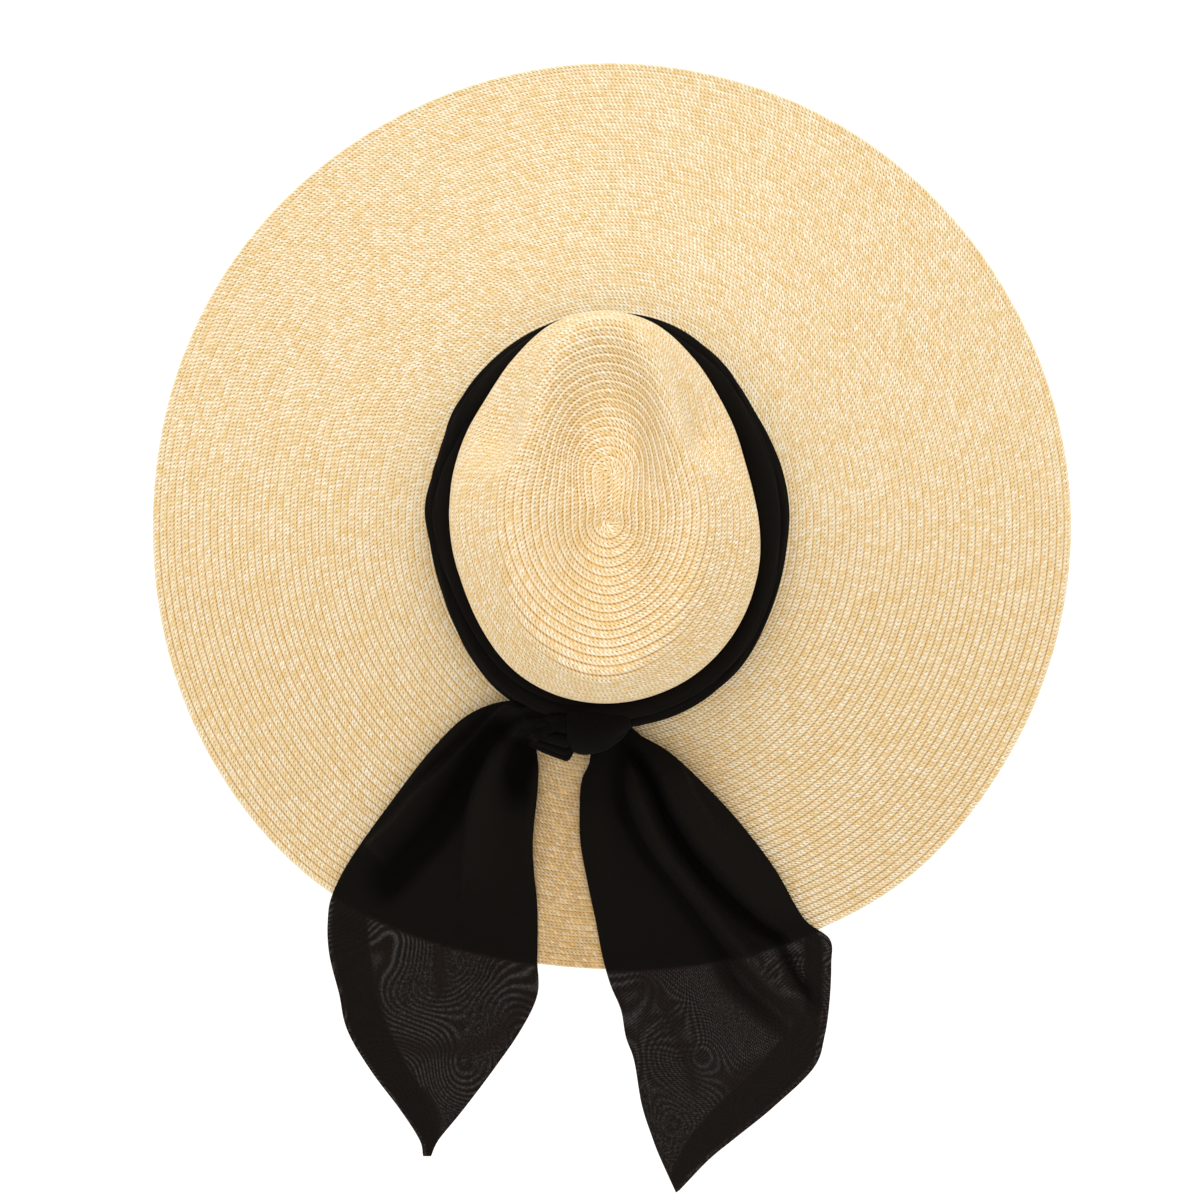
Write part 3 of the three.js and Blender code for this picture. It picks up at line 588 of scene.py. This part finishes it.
def tail_surface(table, folds, covers, outer, open_edge):
    """A tail's upper side, how much its cloth hides what is below, and the painted light and shade on it.

    Its outer edge is at `outer` across it, 0 or 1, and is sheer for `open_edge` millimetres.
    """
    down = np.linspace(0, 1, TAIL_STEPS + 1)
    sections = smooth_points(np.array(table, float), down)
    section = dict(zip(TAIL_COLUMNS, sections.T[..., None]))
    across = np.linspace(0, 1, TAIL_ACROSS + 1)[None, :]
    x = section["left_x"] + (section["right_x"] - section["left_x"]) * across
    y = section["left_y"] + (section["right_y"] - section["left_y"]) * across
    plan = np.stack([x, y], axis=-1)
    lift = np.broadcast_to(section["lift"], x.shape).copy()
    shade = np.ones(x.shape) - ROOT_SHADE * (1 - smoothstep(0, ROOT_REACH, down))[:, None]
    for row in folds:
        fold = dict(zip(FOLD_COLUMNS, row))
        far, side, along = line_distance(plan, fold["line"])
        width = np.where(side > 0, fold["left"], fold["right"])
        risen = smoothstep(-FADE_PAST, fold["fade_in"], along)
        sunk = smoothstep(1 - fold["fade_out"], 1 + FADE_PAST, along)
        swell = fold["rise"] * (risen * (1 - sunk)) * np.exp(-((far / width) ** 2))
        lift += swell
        shade += np.where(swell < 0, VALLEY_SHADE, CREST_SHADE) * swell
    cover = np.zeros(x.shape)
    for row in covers:
        part = dict(zip(COVER_COLUMNS, row))
        far, _, along = line_distance(plan, part["line"])
        half = part["start_width"] + (part["end_width"] - part["start_width"]) * along
        blur = part["blur"]
        cover = np.maximum(cover, part["cover"] * (1 - smoothstep(half - blur, half + blur, far)))
    ground, past_rim = ground_under(x, y)
    in_from_edge = np.abs(across - outer) * np.hypot(x[:, -1:] - x[:, :1], y[:, -1:] - y[:, :1])
    closed = smoothstep(open_edge - EDGE_BLUR, open_edge + EDGE_BLUR, in_from_edge)
    cover = cover + (EDGE_COVER - cover) * (1 - closed)
    cover = np.maximum(cover, 1 - smoothstep(*BRIM_COVER, past_rim))
    a, b, c, d = RIPPLE_WAVES
    ripple = TAIL_RIPPLE * np.sin(x * a + y * b) * np.sin(y * c - x * d)
    inward = np.minimum(across, 1 - across) * 2
    droop = EDGE_DROOP * (1 - inward) ** EDGE_DROOP_SHARPNESS
    lowest = LOWEST_LIFT - FLOOR_DROP * smoothstep(*FLOOR_REACH, past_rim)
    top = ground + np.maximum(lift + ripple - droop, lowest)
    return np.stack([x, y, top], axis=-1), {"cover": cover, "shade": np.clip(shade, *SHADES)}


# ---- making meshes ----


def to_row_frame(points, leaning):
    """Takes points from millimetres round the crown's axis, or its leaning one, to the row frame."""
    placed = points.copy()
    if leaning:
        y, z = points[..., 1], points[..., 2]
        placed[..., 1] = y * math.cos(LEAN) + z * math.sin(LEAN)
        placed[..., 2] = z * math.cos(LEAN) - y * math.sin(LEAN) + FOOT_HEIGHT
    placed[..., 0] += CROWN_AXIS[0]
    placed[..., 1] += CROWN_AXIS[1]
    return placed * MM


def grid_places(mesh, rows, columns):
    """The row and the column of each vertex of a flat grid."""
    flat = np.empty(len(mesh.vertices) * 3, np.float32)
    mesh.vertices.foreach_get("co", flat)
    flat = flat.reshape(-1, 3)
    column = np.rint((flat[:, 0] + 0.5) * columns).astype(int)
    row = np.rint((flat[:, 1] + 0.5) * rows).astype(int)
    return row, column


WELD = 2e-6


def woven_grid(name, points, leaning, uv=None, marks=None):
    """Adds a flat grid and carries each of its knots to its place; points[row][column]."""
    rows, columns = points.shape[0] - 1, points.shape[1] - 1
    bpy.ops.object.select_all(action="DESELECT")
    bpy.ops.mesh.primitive_grid_add(x_subdivisions=columns, y_subdivisions=rows, size=1)
    piece = bpy.context.object
    piece.name = name
    mesh = piece.data
    mesh.name = name
    row, column = grid_places(mesh, rows, columns)
    placed = to_row_frame(points, leaning)[row, column]
    for mark, values in (marks or {}).items():
        attribute = mesh.attributes.new(mark, "FLOAT", "POINT")
        attribute.data.foreach_set("value", values[row, column].astype(np.float32))
    mesh.vertices.foreach_set("co", placed.astype(np.float32).ravel())
    if uv is not None:
        corner = np.empty(len(mesh.loops), np.int32)
        mesh.loops.foreach_get("vertex_index", corner)
        first = np.repeat(np.minimum.reduceat(row[corner], np.arange(0, len(corner), 4)), 4)
        layer = mesh.uv_layers[0]
        layer.name = "weave"
        layer.data.foreach_set("uv", uv(row[corner], column[corner], first).astype(np.float32).ravel())
    mesh.update()
    return piece


def weld(piece):
    """Merges the grid's edges where they meet."""
    bpy.context.view_layer.objects.active = piece
    bpy.ops.object.mode_set(mode="EDIT")
    bpy.ops.mesh.select_all(action="SELECT")
    bpy.ops.mesh.remove_doubles(threshold=WELD)
    bpy.ops.object.mode_set(mode="OBJECT")


def thicken(piece, thickness):
    """Gives a sheet its thickness, below its upper side."""
    wall = piece.modifiers.new("Solidify", "SOLIDIFY")
    wall.thickness = thickness
    wall.offset = -1
    bpy.context.view_layer.objects.active = piece
    bpy.ops.object.modifier_apply(modifier=wall.name)


def finish_piece(piece, thickness, material, node):
    """Closes and thickens a woven grid, gives it its finish, and sets it in the place of a node."""
    weld(piece)
    thicken(piece, thickness)
    piece.data.materials.clear()
    piece.data.materials.append(material)
    bpy.ops.object.select_all(action="DESELECT")
    piece.select_set(True)
    bpy.context.view_layer.objects.active = piece
    bpy.ops.object.shade_smooth()
    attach(piece, "root")
    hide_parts(node)


# ---- shader sums ----

UPWARD = (-0.1, 0.3)  # how steeply up a face looks before it counts as one that does


class Value:
    """One output of a shader node; sums on values add the Math nodes that work them out."""

    def __init__(self, finish, socket):
        self.finish = finish
        self.socket = socket

    def math(self, operation, *others):
        return self.finish.add("ShaderNodeMath", {"operation": operation}, self, *others)

    def __add__(self, other):
        return self.math("ADD", other)

    def __mul__(self, other):
        return self.math("MULTIPLY", other)

    def __sub__(self, other):
        return self.math("SUBTRACT", other)

    def __rsub__(self, other):
        return self.finish.add("ShaderNodeMath", {"operation": "SUBTRACT"}, other, self)

    def __truediv__(self, other):
        return self.math("DIVIDE", other)

    def __pow__(self, other):
        return self.math("POWER", other)

    __radd__ = __add__
    __rmul__ = __mul__


class Finish:
    """A material, and the one way in which nodes are added to it."""

    def __init__(self, name, **constants):
        self.material = bpy.data.materials.new(name)
        self.material.use_nodes = True
        self.tree = self.material.node_tree
        self.shader = self.tree.nodes["Principled BSDF"]
        for socket, value in constants.items():
            self.shader.inputs[socket.replace("_", " ")].default_value = value

    def add(self, kind, settings, *inputs, output=0, stops=None):
        """Adds a node with its settings, a ramp's stops, and the values or links of its sockets."""
        node = self.tree.nodes.new(kind)
        for name, value in settings.items():
            setattr(node, name, value)
        if stops:
            ramp = node.color_ramp
            for place, _ in stops[2:]:
                ramp.elements.new(place)
            for element, (place, colour) in zip(ramp.elements, stops):
                element.position = place
                element.color = (*colour, 1)
        slots = [socket for socket in node.inputs if socket.enabled]
        for socket, value in zip(slots, inputs):
            self.put(value, socket)
        outputs = [socket for socket in node.outputs if socket.enabled]
        return Value(self, outputs[output])

    def put(self, value, socket):
        if isinstance(value, Value):
            self.tree.links.new(value.socket, socket)
        elif value is not None:
            socket.default_value = value

    def drive(self, name, value):
        self.put(value, self.shader.inputs[name])

    def parts(self, vector):
        node = self.tree.nodes.new("ShaderNodeSeparateXYZ")
        self.put(vector, node.inputs[0])
        return [Value(self, socket) for socket in node.outputs]

    def weave_place(self):
        return self.parts(self.add("ShaderNodeUVMap", {"uv_map": "weave"}))

    def object_place(self):
        return self.add("ShaderNodeTexCoord", {}, output=3)

    def facing_up(self):
        """1 on faces that look up, 0 on those that look down."""
        _, _, up = self.parts(self.add("ShaderNodeNewGeometry", {}, output=1))
        return self.between(up, *UPWARD)

    def mark(self, name):
        """One of the numbers that a piece's points carry."""
        return self.add("ShaderNodeAttribute", {"attribute_name": name}, output=2)

    def point(self, x, y):
        return self.add("ShaderNodeCombineXYZ", {}, x, y, 0.0)

    def noise(self, place, scale, detail, roughness):
        return self.add("ShaderNodeTexNoise", {}, place, scale, detail, roughness)

    def chance(self, x, y):
        """A value that is different, and fixed, for each pair of whole numbers."""
        return self.add("ShaderNodeTexWhiteNoise", {"noise_dimensions": "2D"}, self.point(x, y))

    def blend(self, share, below, above):
        return self.add("ShaderNodeMix", {"data_type": "RGBA"}, share, below, above)

    def tint(self, colour, share):
        """A colour made darker or lighter by a value."""
        grey = self.add("ShaderNodeCombineXYZ", {}, share, share, share)
        return self.add("ShaderNodeVectorMath", {"operation": "MULTIPLY"}, colour, grey)

    def between(self, value, low, high):
        smooth = {"interpolation_type": "SMOOTHSTEP"}
        return self.add("ShaderNodeMapRange", smooth, value, low, high, 0.0, 1.0)

    def bump(self, height, distance, strength):
        self.drive("Normal", self.add("ShaderNodeBump", {}, strength, distance, 1.0, height))


def rgba(colour):
    return (*colour, 1.0)


# ---- the straw and the voile ----

# The plait, in widths of a strand: how far a strand slants across its row, how far the row's second
# line of strands is set along, and how far chance moves each row and each strand.
STRAND_SLANT = 1.7
LINE_SHIFT = 0.45
ROW_CHANCE = 9
STRAND_CHANCE = 0.5
STRAND_DOME = 0.6
SIDE_SHARPNESS = 1.25
SPREADS = (31.5, 0.25)  # they keep the chances of neighbouring strands apart
STREAKS = (7.0, 2.5, 5.0)  # along a strand's width, across its row, and from row to row

# Noise: how fine it is, how many layers it has, and how rough they are.
JITTER = (320.0, 1.0, 0.5)
STREAK_NOISE = (1.0, 1.0, 0.5)
PATCHES = (45.0, 3.0, 0.6)
CREPE = (1800.0, 2.0, 0.6)
DRIFT = (14.0, 0.6, 0.5)
STRENGTHS = (19.0, 1.0, 0.5)
GRAIN = (800.0, 1.0, 0.5)

# Where each tone of the straw begins and is full: by chance, by place on the row, or in metres.
# Some place painted light and shade: the tails' painted shadow on the brim behind the crown, a
# painted highlight on each row's raised edge, and painted shade in the seams and the holes.
STREAKED = (0.45, 0.7)
MOTTLED = (0.4, 0.75)
CROWN_TOP = (0.075, 0.105)
TAILS_MIDDLE = -0.012
BETWEEN_TAILS = (0.1, 0.045)
BEHIND_CROWN = (-0.04, -0.09)
FIRST_ROW = (0.2, 0.8)
LIT_EDGE = (0.78, 0.86)
LIT_EDGE_END = (1.0, 0.95)
SEAM = (0.3, 0.06)
SEAM_ROWS = (1.2, 1.8)
SEAM_SHADE_BEHIND = (0.13, -0.02)
HOLE_SIDES = (0.8, 0.3)
HOLE_ENDS = (0.5, 0.12)
HOLE_CHANCE = (0.0, 0.5)

STREAK_SHARE = 0.3
MOTTLE_SHARE = 0.2
CROWN_TONE = 0.08
SHADE_WARMTH = 0.4
SHADE_DEPTH = 0.4
SIDE_SHADE = 0.85
LIT_SHARE = 0.35
SEAM_SHARE = 0.35
SEAM_SHADE_SHARE = 0.55
HOLE_SHARE = 0.8
HOLE_SHARE_SHADED = 0.2
STRAW_ROUGHNESS = (0.62, 0.2)
STRAW_RELIEF = (0.0005, 0.8)

# The voile, and the water pattern of two layers of it: how strongly the pattern's drift, its place
# to the right and its place to the front count, for broad bands and for fine ones.
VOILE_ROUGHNESS = (0.75, 0.2)
VOILE_RELIEF = (0.0002, 0.35)
BROAD_BANDS = (58, 60, 220)
FINE_BANDS = (66, 470, -260)
RIGHT_TAIL_FROM = (-0.02, 0.02)
BROAD_LESS = 0.45  # on the right tail
FINE_SHARES = (0.4, 0.15)  # more there, and everywhere
PATCHES_LESS = 0.15
PATTERN_PATCHES = (0.3, 0.6)
TIP_FADE = (-0.31, -0.24)
PATTERN_DEPTH = (0.11, 0.012)
GRAIN_DEPTH = (0.6, 0.25)
CLOSED_ALPHA = 0.97
SINGLE_CLEAR = 0.078
SINGLE_BACKLIGHT = (0.0, 0.35)


def straw_finish():
    """Plaited paper straw: two lines of slanted strands side by side along each row of braid."""
    sizes = bpy.context.scene.hat_sizes
    colours = bpy.context.scene.hat_colours
    tan, amber, gap = rgba(colours.tan), rgba(colours.amber), rgba(colours.gap)
    straw = Finish("sewn_straw", Metallic=0.0, Specular_IOR_Level=0.3)
    along, rows, _ = straw.weave_place()
    row = rows.math("FLOOR")
    across = rows - row
    line = (across * 2).math("FLOOR")
    inner = across * 2 - line
    place = straw.object_place()
    jitter = straw.noise(place, *JITTER) - 0.5
    slanted = along / sizes.strand_width + across * STRAND_SLANT + line * LINE_SHIFT
    strand = slanted + straw.chance(row, 0.5) * ROW_CHANCE + jitter * STRAND_CHANCE
    number = strand.math("FLOOR")
    over = strand - number
    arch = 1 - (over * 2 - 1) ** 2
    chance = straw.chance(number + line * SPREADS[0], row)
    other_chance = straw.chance(number, row + line * 0.5 + SPREADS[1])
    dome = 1 - (inner * 2 - 1) ** 2
    height = arch * (dome * STRAND_DOME + (1 - STRAND_DOME))
    strand_colour = straw.add(
        "ShaderNodeValToRGB", {}, chance,
        stops=((0.0, colours.pale), (1.0, colours.tan), (0.4, colours.cream), (0.8, colours.cream)),
    )
    streak_place = straw.point(strand * STREAKS[0], across * STREAKS[1] + row * STREAKS[2])
    streak = straw.noise(streak_place, *STREAK_NOISE)
    streaked = straw.blend(straw.between(streak, *STREAKED) * STREAK_SHARE, strand_colour, tan)
    patches = straw.noise(place, *PATCHES)
    toward_right, toward_front, up = straw.parts(place)
    # Painted shadow of the tails on the brim between them, behind the crown, on faces that look up: it
    # warms and darkens the straw there, and deepens its holes.
    off_middle = (toward_right - TAILS_MIDDLE).math("ABSOLUTE")
    behind = straw.between(toward_front, *BEHIND_CROWN)
    painted_tail_shadow = straw.between(off_middle, *BETWEEN_TAILS) * behind * straw.facing_up()
    mottled = straw.blend(straw.between(patches, *MOTTLED) * MOTTLE_SHARE, streaked, tan)
    toned = straw.blend(straw.between(up, *CROWN_TOP) * CROWN_TONE, mottled, amber)
    shadow_warmed = straw.blend(painted_tail_shadow * SHADE_WARMTH, toned, amber)
    shadow_darkened = straw.blend(painted_tail_shadow * other_chance * SHADE_DEPTH, shadow_warmed, gap)
    # Painted shade on each strand's sides, where it dips towards the gaps between strands.
    side = (1 - arch) ** SIDE_SHARPNESS
    side_shaded = straw.blend(side * SIDE_SHADE, shadow_darkened, amber)
    # A painted highlight along each row's raised outer edge, past the first row.
    past_start = straw.between(row, *FIRST_ROW)
    lit_edge = straw.between(across, *LIT_EDGE) * straw.between(across, *LIT_EDGE_END) * past_start
    highlighted = straw.blend(lit_edge * LIT_SHARE, side_shaded, rgba(colours.pale))
    # The seam at each row's low edge is a joint of the braid, darkened further by painted shade in the
    # step between rows, more so behind, where the steps face away from the front light.
    seam = straw.between(across, *SEAM) * straw.between(row, *SEAM_ROWS)
    seam_and_shade_share = straw.between(toward_front, *SEAM_SHADE_BEHIND) * SEAM_SHADE_SHARE + SEAM_SHARE
    seamed = straw.blend(seam * seam_and_shade_share, highlighted, amber)
    # Painted shade in the holes between strands, deeper in the tails' painted shadow.
    hole = straw.between(arch, *HOLE_SIDES) * straw.between(inner, *HOLE_ENDS)
    hole = hole * straw.between(other_chance, *HOLE_CHANCE)
    hole_shaded = straw.blend(hole * (painted_tail_shadow * HOLE_SHARE_SHADED + HOLE_SHARE), seamed, gap)
    straw.drive("Base Color", hole_shaded)
    straw.drive("Roughness", STRAW_ROUGHNESS[0] + patches * STRAW_ROUGHNESS[1])
    straw.bump(height, *STRAW_RELIEF)
    return straw.material


def bands(drift, x, y, weights):
    """The rise and fall, from -1 to 1, of bands whose way is bent by a drift."""
    by_drift, by_x, by_y = weights
    return ((drift * by_drift + x * by_x + y * by_y) * (2 * math.pi)).math("SINE")


def voile_finish(name, sheer):
    """Black voile: a fine dull weave, which light gets through where it is a single layer."""
    colours = bpy.context.scene.hat_colours
    voile = Finish(name, Metallic=0.0, Specular_IOR_Level=0.04, Sheen_Weight=0.008, Sheen_Roughness=0.4)
    place = voile.object_place()
    crepe = voile.noise(place, *CREPE)
    voile.drive("Roughness", VOILE_ROUGHNESS[0] + crepe * VOILE_ROUGHNESS[1])
    # Each piece's shade mark paints light and shade into the cloth's colour: shade in valleys, creases and
    # pleats, highlights on crests.
    shade = voile.mark("shade")
    base = colours.voile
    if sheer:
        single = 1 - voile.mark("cover")
        x, y, _ = voile.parts(place)
        drift = voile.noise(place, *DRIFT)
        broad = bands(drift, x, y, BROAD_BANDS)
        fine = bands(drift, x, y, FINE_BANDS)
        right = voile.between(x, *RIGHT_TAIL_FROM)
        pattern = broad * (1 - right * BROAD_LESS) + fine * (right * FINE_SHARES[0] + FINE_SHARES[1])
        low, high = (edge - right * PATCHES_LESS for edge in PATTERN_PATCHES)
        patchy = voile.between(voile.noise(place, *STRENGTHS), low, high)
        strength = patchy * voile.between(y, *TIP_FADE)
        grain = voile.noise(place, *GRAIN) - 0.5
        pattern_depth = strength * PATTERN_DEPTH[0] + PATTERN_DEPTH[1]
        clear = pattern * pattern_depth + grain * (GRAIN_DEPTH[0] - strength * GRAIN_DEPTH[1])
        voile.drive("Alpha", CLOSED_ALPHA - single * (SINGLE_CLEAR + clear))
        # Where the cloth is single, its colour is lighter and warmer: painted light that the bright floor
        # sends through it.
        base = voile.blend(voile.between(single, *SINGLE_BACKLIGHT), rgba(base), rgba(colours.backlit_voile))
    voile.drive("Base Color", voile.tint(base, shade))
    voile.bump(crepe, *VOILE_RELIEF)
    return voile.material


# ---- crown and brim ----


ROW_MARGIN = 0.051  # of a row: the narrow faces in front of a row's first ring belong to it too


def braided(surface, bearing, braid_rows):
    """Raises rows of braid on a surface, and gives the rings' points and their place on the braid."""
    shares = np.array([row + across for row in range(braid_rows) for across, _ in BRAID_PROFILE])
    heights = np.array([height for _ in range(braid_rows) for _, height in BRAID_PROFILE])
    heights[: len(BRAID_PROFILE) + 1] = heights[1]
    places = np.concatenate([[0.0], shares, [braid_rows]])
    heights = np.concatenate([heights[:1], heights, [0.0]])
    points = surface(bearing, places / braid_rows)
    ahead = surface(bearing, np.minimum(places + SLOPE_STEP, braid_rows) / braid_rows)
    behind = surface(bearing, np.maximum(places - SLOPE_STEP, 0) / braid_rows)
    down = ahead - behind
    turning = np.roll(points[:, :-1], -1, axis=1) - np.roll(points[:, :-1], 1, axis=1)
    turning = np.concatenate([turning, turning[:, :1]], axis=1)
    normal = np.cross(turning, down)
    normal /= np.maximum(np.linalg.norm(normal, axis=-1, keepdims=True), 1e-9)
    normal[0] = (0, 0, 1)
    raised = points + normal * heights[:, None, None]
    middle = surface(bearing, (np.arange(braid_rows) + 0.5) / braid_rows)
    lengths = np.concatenate([
        np.zeros((braid_rows, 1)),
        np.cumsum(np.linalg.norm(np.diff(middle, axis=1), axis=-1), axis=1),
    ], axis=1)

    def uv(ring, column, first):
        row = np.clip(np.floor(places[first] + ROW_MARGIN).astype(int), 0, braid_rows - 1)
        return np.stack([lengths[row, column], places[ring]], axis=-1)

    return raised, uv


def straw_piece(node, surface, steps, braid_rows, leaning, material):
    """Adds a piece of sewn braid that goes once round the hat, in the place of a node."""
    points, uv = braided(surface, np.linspace(0, 360, steps + 1), braid_rows)
    points[:, -1] = points[:, 0]
    piece = woven_grid("straw_" + node, points, leaning, uv)
    finish_piece(piece, bpy.context.scene.hat_sizes.straw_thickness, material, node)


class HAT_OT_crown(bpy.types.Operator):
    """Adds the crown, rows of braid from the middle of its top down to its foot"""

    bl_idname = "sun_hat.crown"
    bl_label = "Straw crown"

    def execute(self, context):
        straw_piece("crown", crown_surface, CROWN_STEPS, CROWN_BRAID_ROWS, True, straw_finish())
        return {"FINISHED"}


class HAT_OT_brim(bpy.types.Operator):
    """Adds the brim, whose rows of braid go on from the crown's foot out to the rim"""

    bl_idname = "sun_hat.brim"
    bl_label = "Straw brim"

    def execute(self, context):
        straw = bpy.data.materials["sewn_straw"]
        straw_piece("brim", brim_surface, BRIM_STEPS, BRIM_BRAID_ROWS, False, straw)
        return {"FINISHED"}


# ---- scarf ----


def cloth_piece(name, points, leaning, node, material, marks):
    """Adds a sheet of voile, in the place of a node."""
    piece = woven_grid(name, points, leaning, marks=marks)
    finish_piece(piece, VOILE_THICKNESS * MM, material, node)
    return piece


class HAT_OT_band(bpy.types.Operator):
    """Adds the scarf's pleats round the crown"""

    bl_idname = "sun_hat.band"
    bl_label = "Scarf band"

    def execute(self, context):
        bearing = np.linspace(0, 360, BAND_STEPS + 1)
        points, marks = band_surface(bearing, np.linspace(0, 1, BAND_ROWS + 1))
        points[:, -1] = points[:, 0]
        voile = voile_finish("voile", False)
        piece = cloth_piece("scarf_pleats", points, True, "scarf_band", voile, marks)
        return {"FINISHED"}


class HAT_OT_knot(bpy.types.Operator):
    """Adds the knot: the loop over the band, and the gathered cloth wrapped under it"""

    bl_idname = "sun_hat.knot"
    bl_label = "Knot"

    def execute(self, context):
        voile = bpy.data.materials["voile"]
        points, marks = loop_surface()
        loop = cloth_piece("scarf_loop", points, True, "knot_loop", voile, marks)
        points, marks = wrap_surface()
        marks = {mark: values[::-1] for mark, values in marks.items()}
        wrap = cloth_piece("scarf_wrap", points[::-1], True, "knot_stub", voile, marks)
        return {"FINISHED"}


class HAT_OT_tails(bpy.types.Operator):
    """Adds the scarf's two tails, lying over the brim and past its edge"""

    bl_idname = "sun_hat.tails"
    bl_label = "Scarf tails"

    def execute(self, context):
        sheer = voile_finish("sheer_voile", True)
        for node, tail, flat, area in (
            ("tail_left", (LEFT_TAIL, LEFT_FOLDS, LEFT_COVERS, 0, 1.8), (0.12, 0.26), 0.021),
            ("tail_right", (RIGHT_TAIL, RIGHT_FOLDS, RIGHT_COVERS, 1, 3.2), (0.13, 0.26), 0.0235),
        ):
            points, marks = tail_surface(*tail)
            marks = {mark: values[:, ::-1] for mark, values in marks.items()}
            piece = cloth_piece("scarf_" + node, points[:, ::-1], False, node, sheer, marks)
        return {"FINISHED"}


# ---- stage ----

FLOOR_SIZE = 6
FLOOR_GREY = 0.85
FLOOR_GLOW = 0.55
SKY_COLOUR = (1, 0.93, 0.82, 1)
SKY_STRENGTH = 0.72
SOFTBOXES = (
    ("front_softbox", (0.0, 1.6, 1.6), 1.2, 15),
    ("top_softbox", (-0.1, 0.0, 2.6), 1.8, 18),
)
CAMERA_PLACE = (-0.0063, 0.0151)
VIEW_WIDTH = 0.648  # of floor that the camera sees


class HAT_OT_stage(bpy.types.Operator):
    """Adds the white floor, the soft lights and the camera straight above"""

    bl_idname = "sun_hat.stage"
    bl_label = "Stage"

    def execute(self, context):
        bpy.ops.object.select_all(action="DESELECT")
        bpy.ops.mesh.primitive_plane_add(size=FLOOR_SIZE)
        floor = context.object
        floor.name = "floor"
        grey = (FLOOR_GREY, FLOOR_GREY, FLOOR_GREY, 1)
        white = Finish("white_floor", Base_Color=grey, Roughness=0.9, Emission_Strength=FLOOR_GLOW)
        white.shader.inputs["Emission Color"].default_value = (1, 1, 1, 1)
        floor.data.materials.append(white.material)

        world = bpy.data.worlds.new("studio")
        context.scene.world = world
        world.use_nodes = True
        sky = world.node_tree.nodes["Background"]
        sky.inputs[0].default_value = SKY_COLOUR
        sky.inputs[1].default_value = SKY_STRENGTH

        for name, place, size, power in SOFTBOXES:
            bpy.ops.object.light_add(type="AREA", location=place)
            light = context.object
            light.name = name
            light.data.size = size
            light.data.energy = power
            aim = -np.array(place) / np.linalg.norm(place)
            tilt = math.atan2(math.hypot(aim[0], aim[1]), -aim[2])
            light.rotation_euler = (tilt, 0, math.atan2(-aim[0], aim[1]))

        height = context.scene.hat_sizes.camera_height
        bpy.ops.object.camera_add(location=(*CAMERA_PLACE, height))
        camera = context.object
        camera.rotation_euler = (0, 0, 0)
        camera.data.lens = camera.data.sensor_width * height / VIEW_WIDTH
        context.scene.camera = camera
        context.scene.view_settings.view_transform = "Standard"
        return {"FINISHED"}


# ---- the panel, and all in order ----


class HAT_PT_panel(bpy.types.Panel):
    """Lists the hat's pieces, sizes and colours"""

    bl_label = "Sun Hat"
    bl_idname = "HAT_PT_panel"
    bl_space_type = "VIEW_3D"
    bl_region_type = "UI"
    bl_category = "Sun Hat"

    def draw(self, context):
        for group in (context.scene.hat_sizes, context.scene.hat_colours):
            for name in group.__annotations__:
                self.layout.prop(group, name)
        for operator in OPERATORS:
            self.layout.operator(operator.bl_idname)


OPERATORS = (HAT_OT_stage, HAT_OT_crown, HAT_OT_brim, HAT_OT_band, HAT_OT_knot, HAT_OT_tails)
CLASSES = (HatSizes, HatColours, *OPERATORS, HAT_PT_panel)


def register():
    for cls in CLASSES:
        bpy.utils.register_class(cls)
    bpy.types.Scene.hat_sizes = bpy.props.PointerProperty(type=HatSizes)
    bpy.types.Scene.hat_colours = bpy.props.PointerProperty(type=HatColours)


def unregister():
    del bpy.types.Scene.hat_colours
    del bpy.types.Scene.hat_sizes
    for cls in reversed(CLASSES):
        bpy.utils.unregister_class(cls)


def main():
    register()
    bpy.ops.sun_hat.stage()
    bpy.ops.sun_hat.crown()
    bpy.ops.sun_hat.brim()
    bpy.ops.sun_hat.band()
    bpy.ops.sun_hat.knot()
    bpy.ops.sun_hat.tails()


if __name__ == "__main__":
    main()
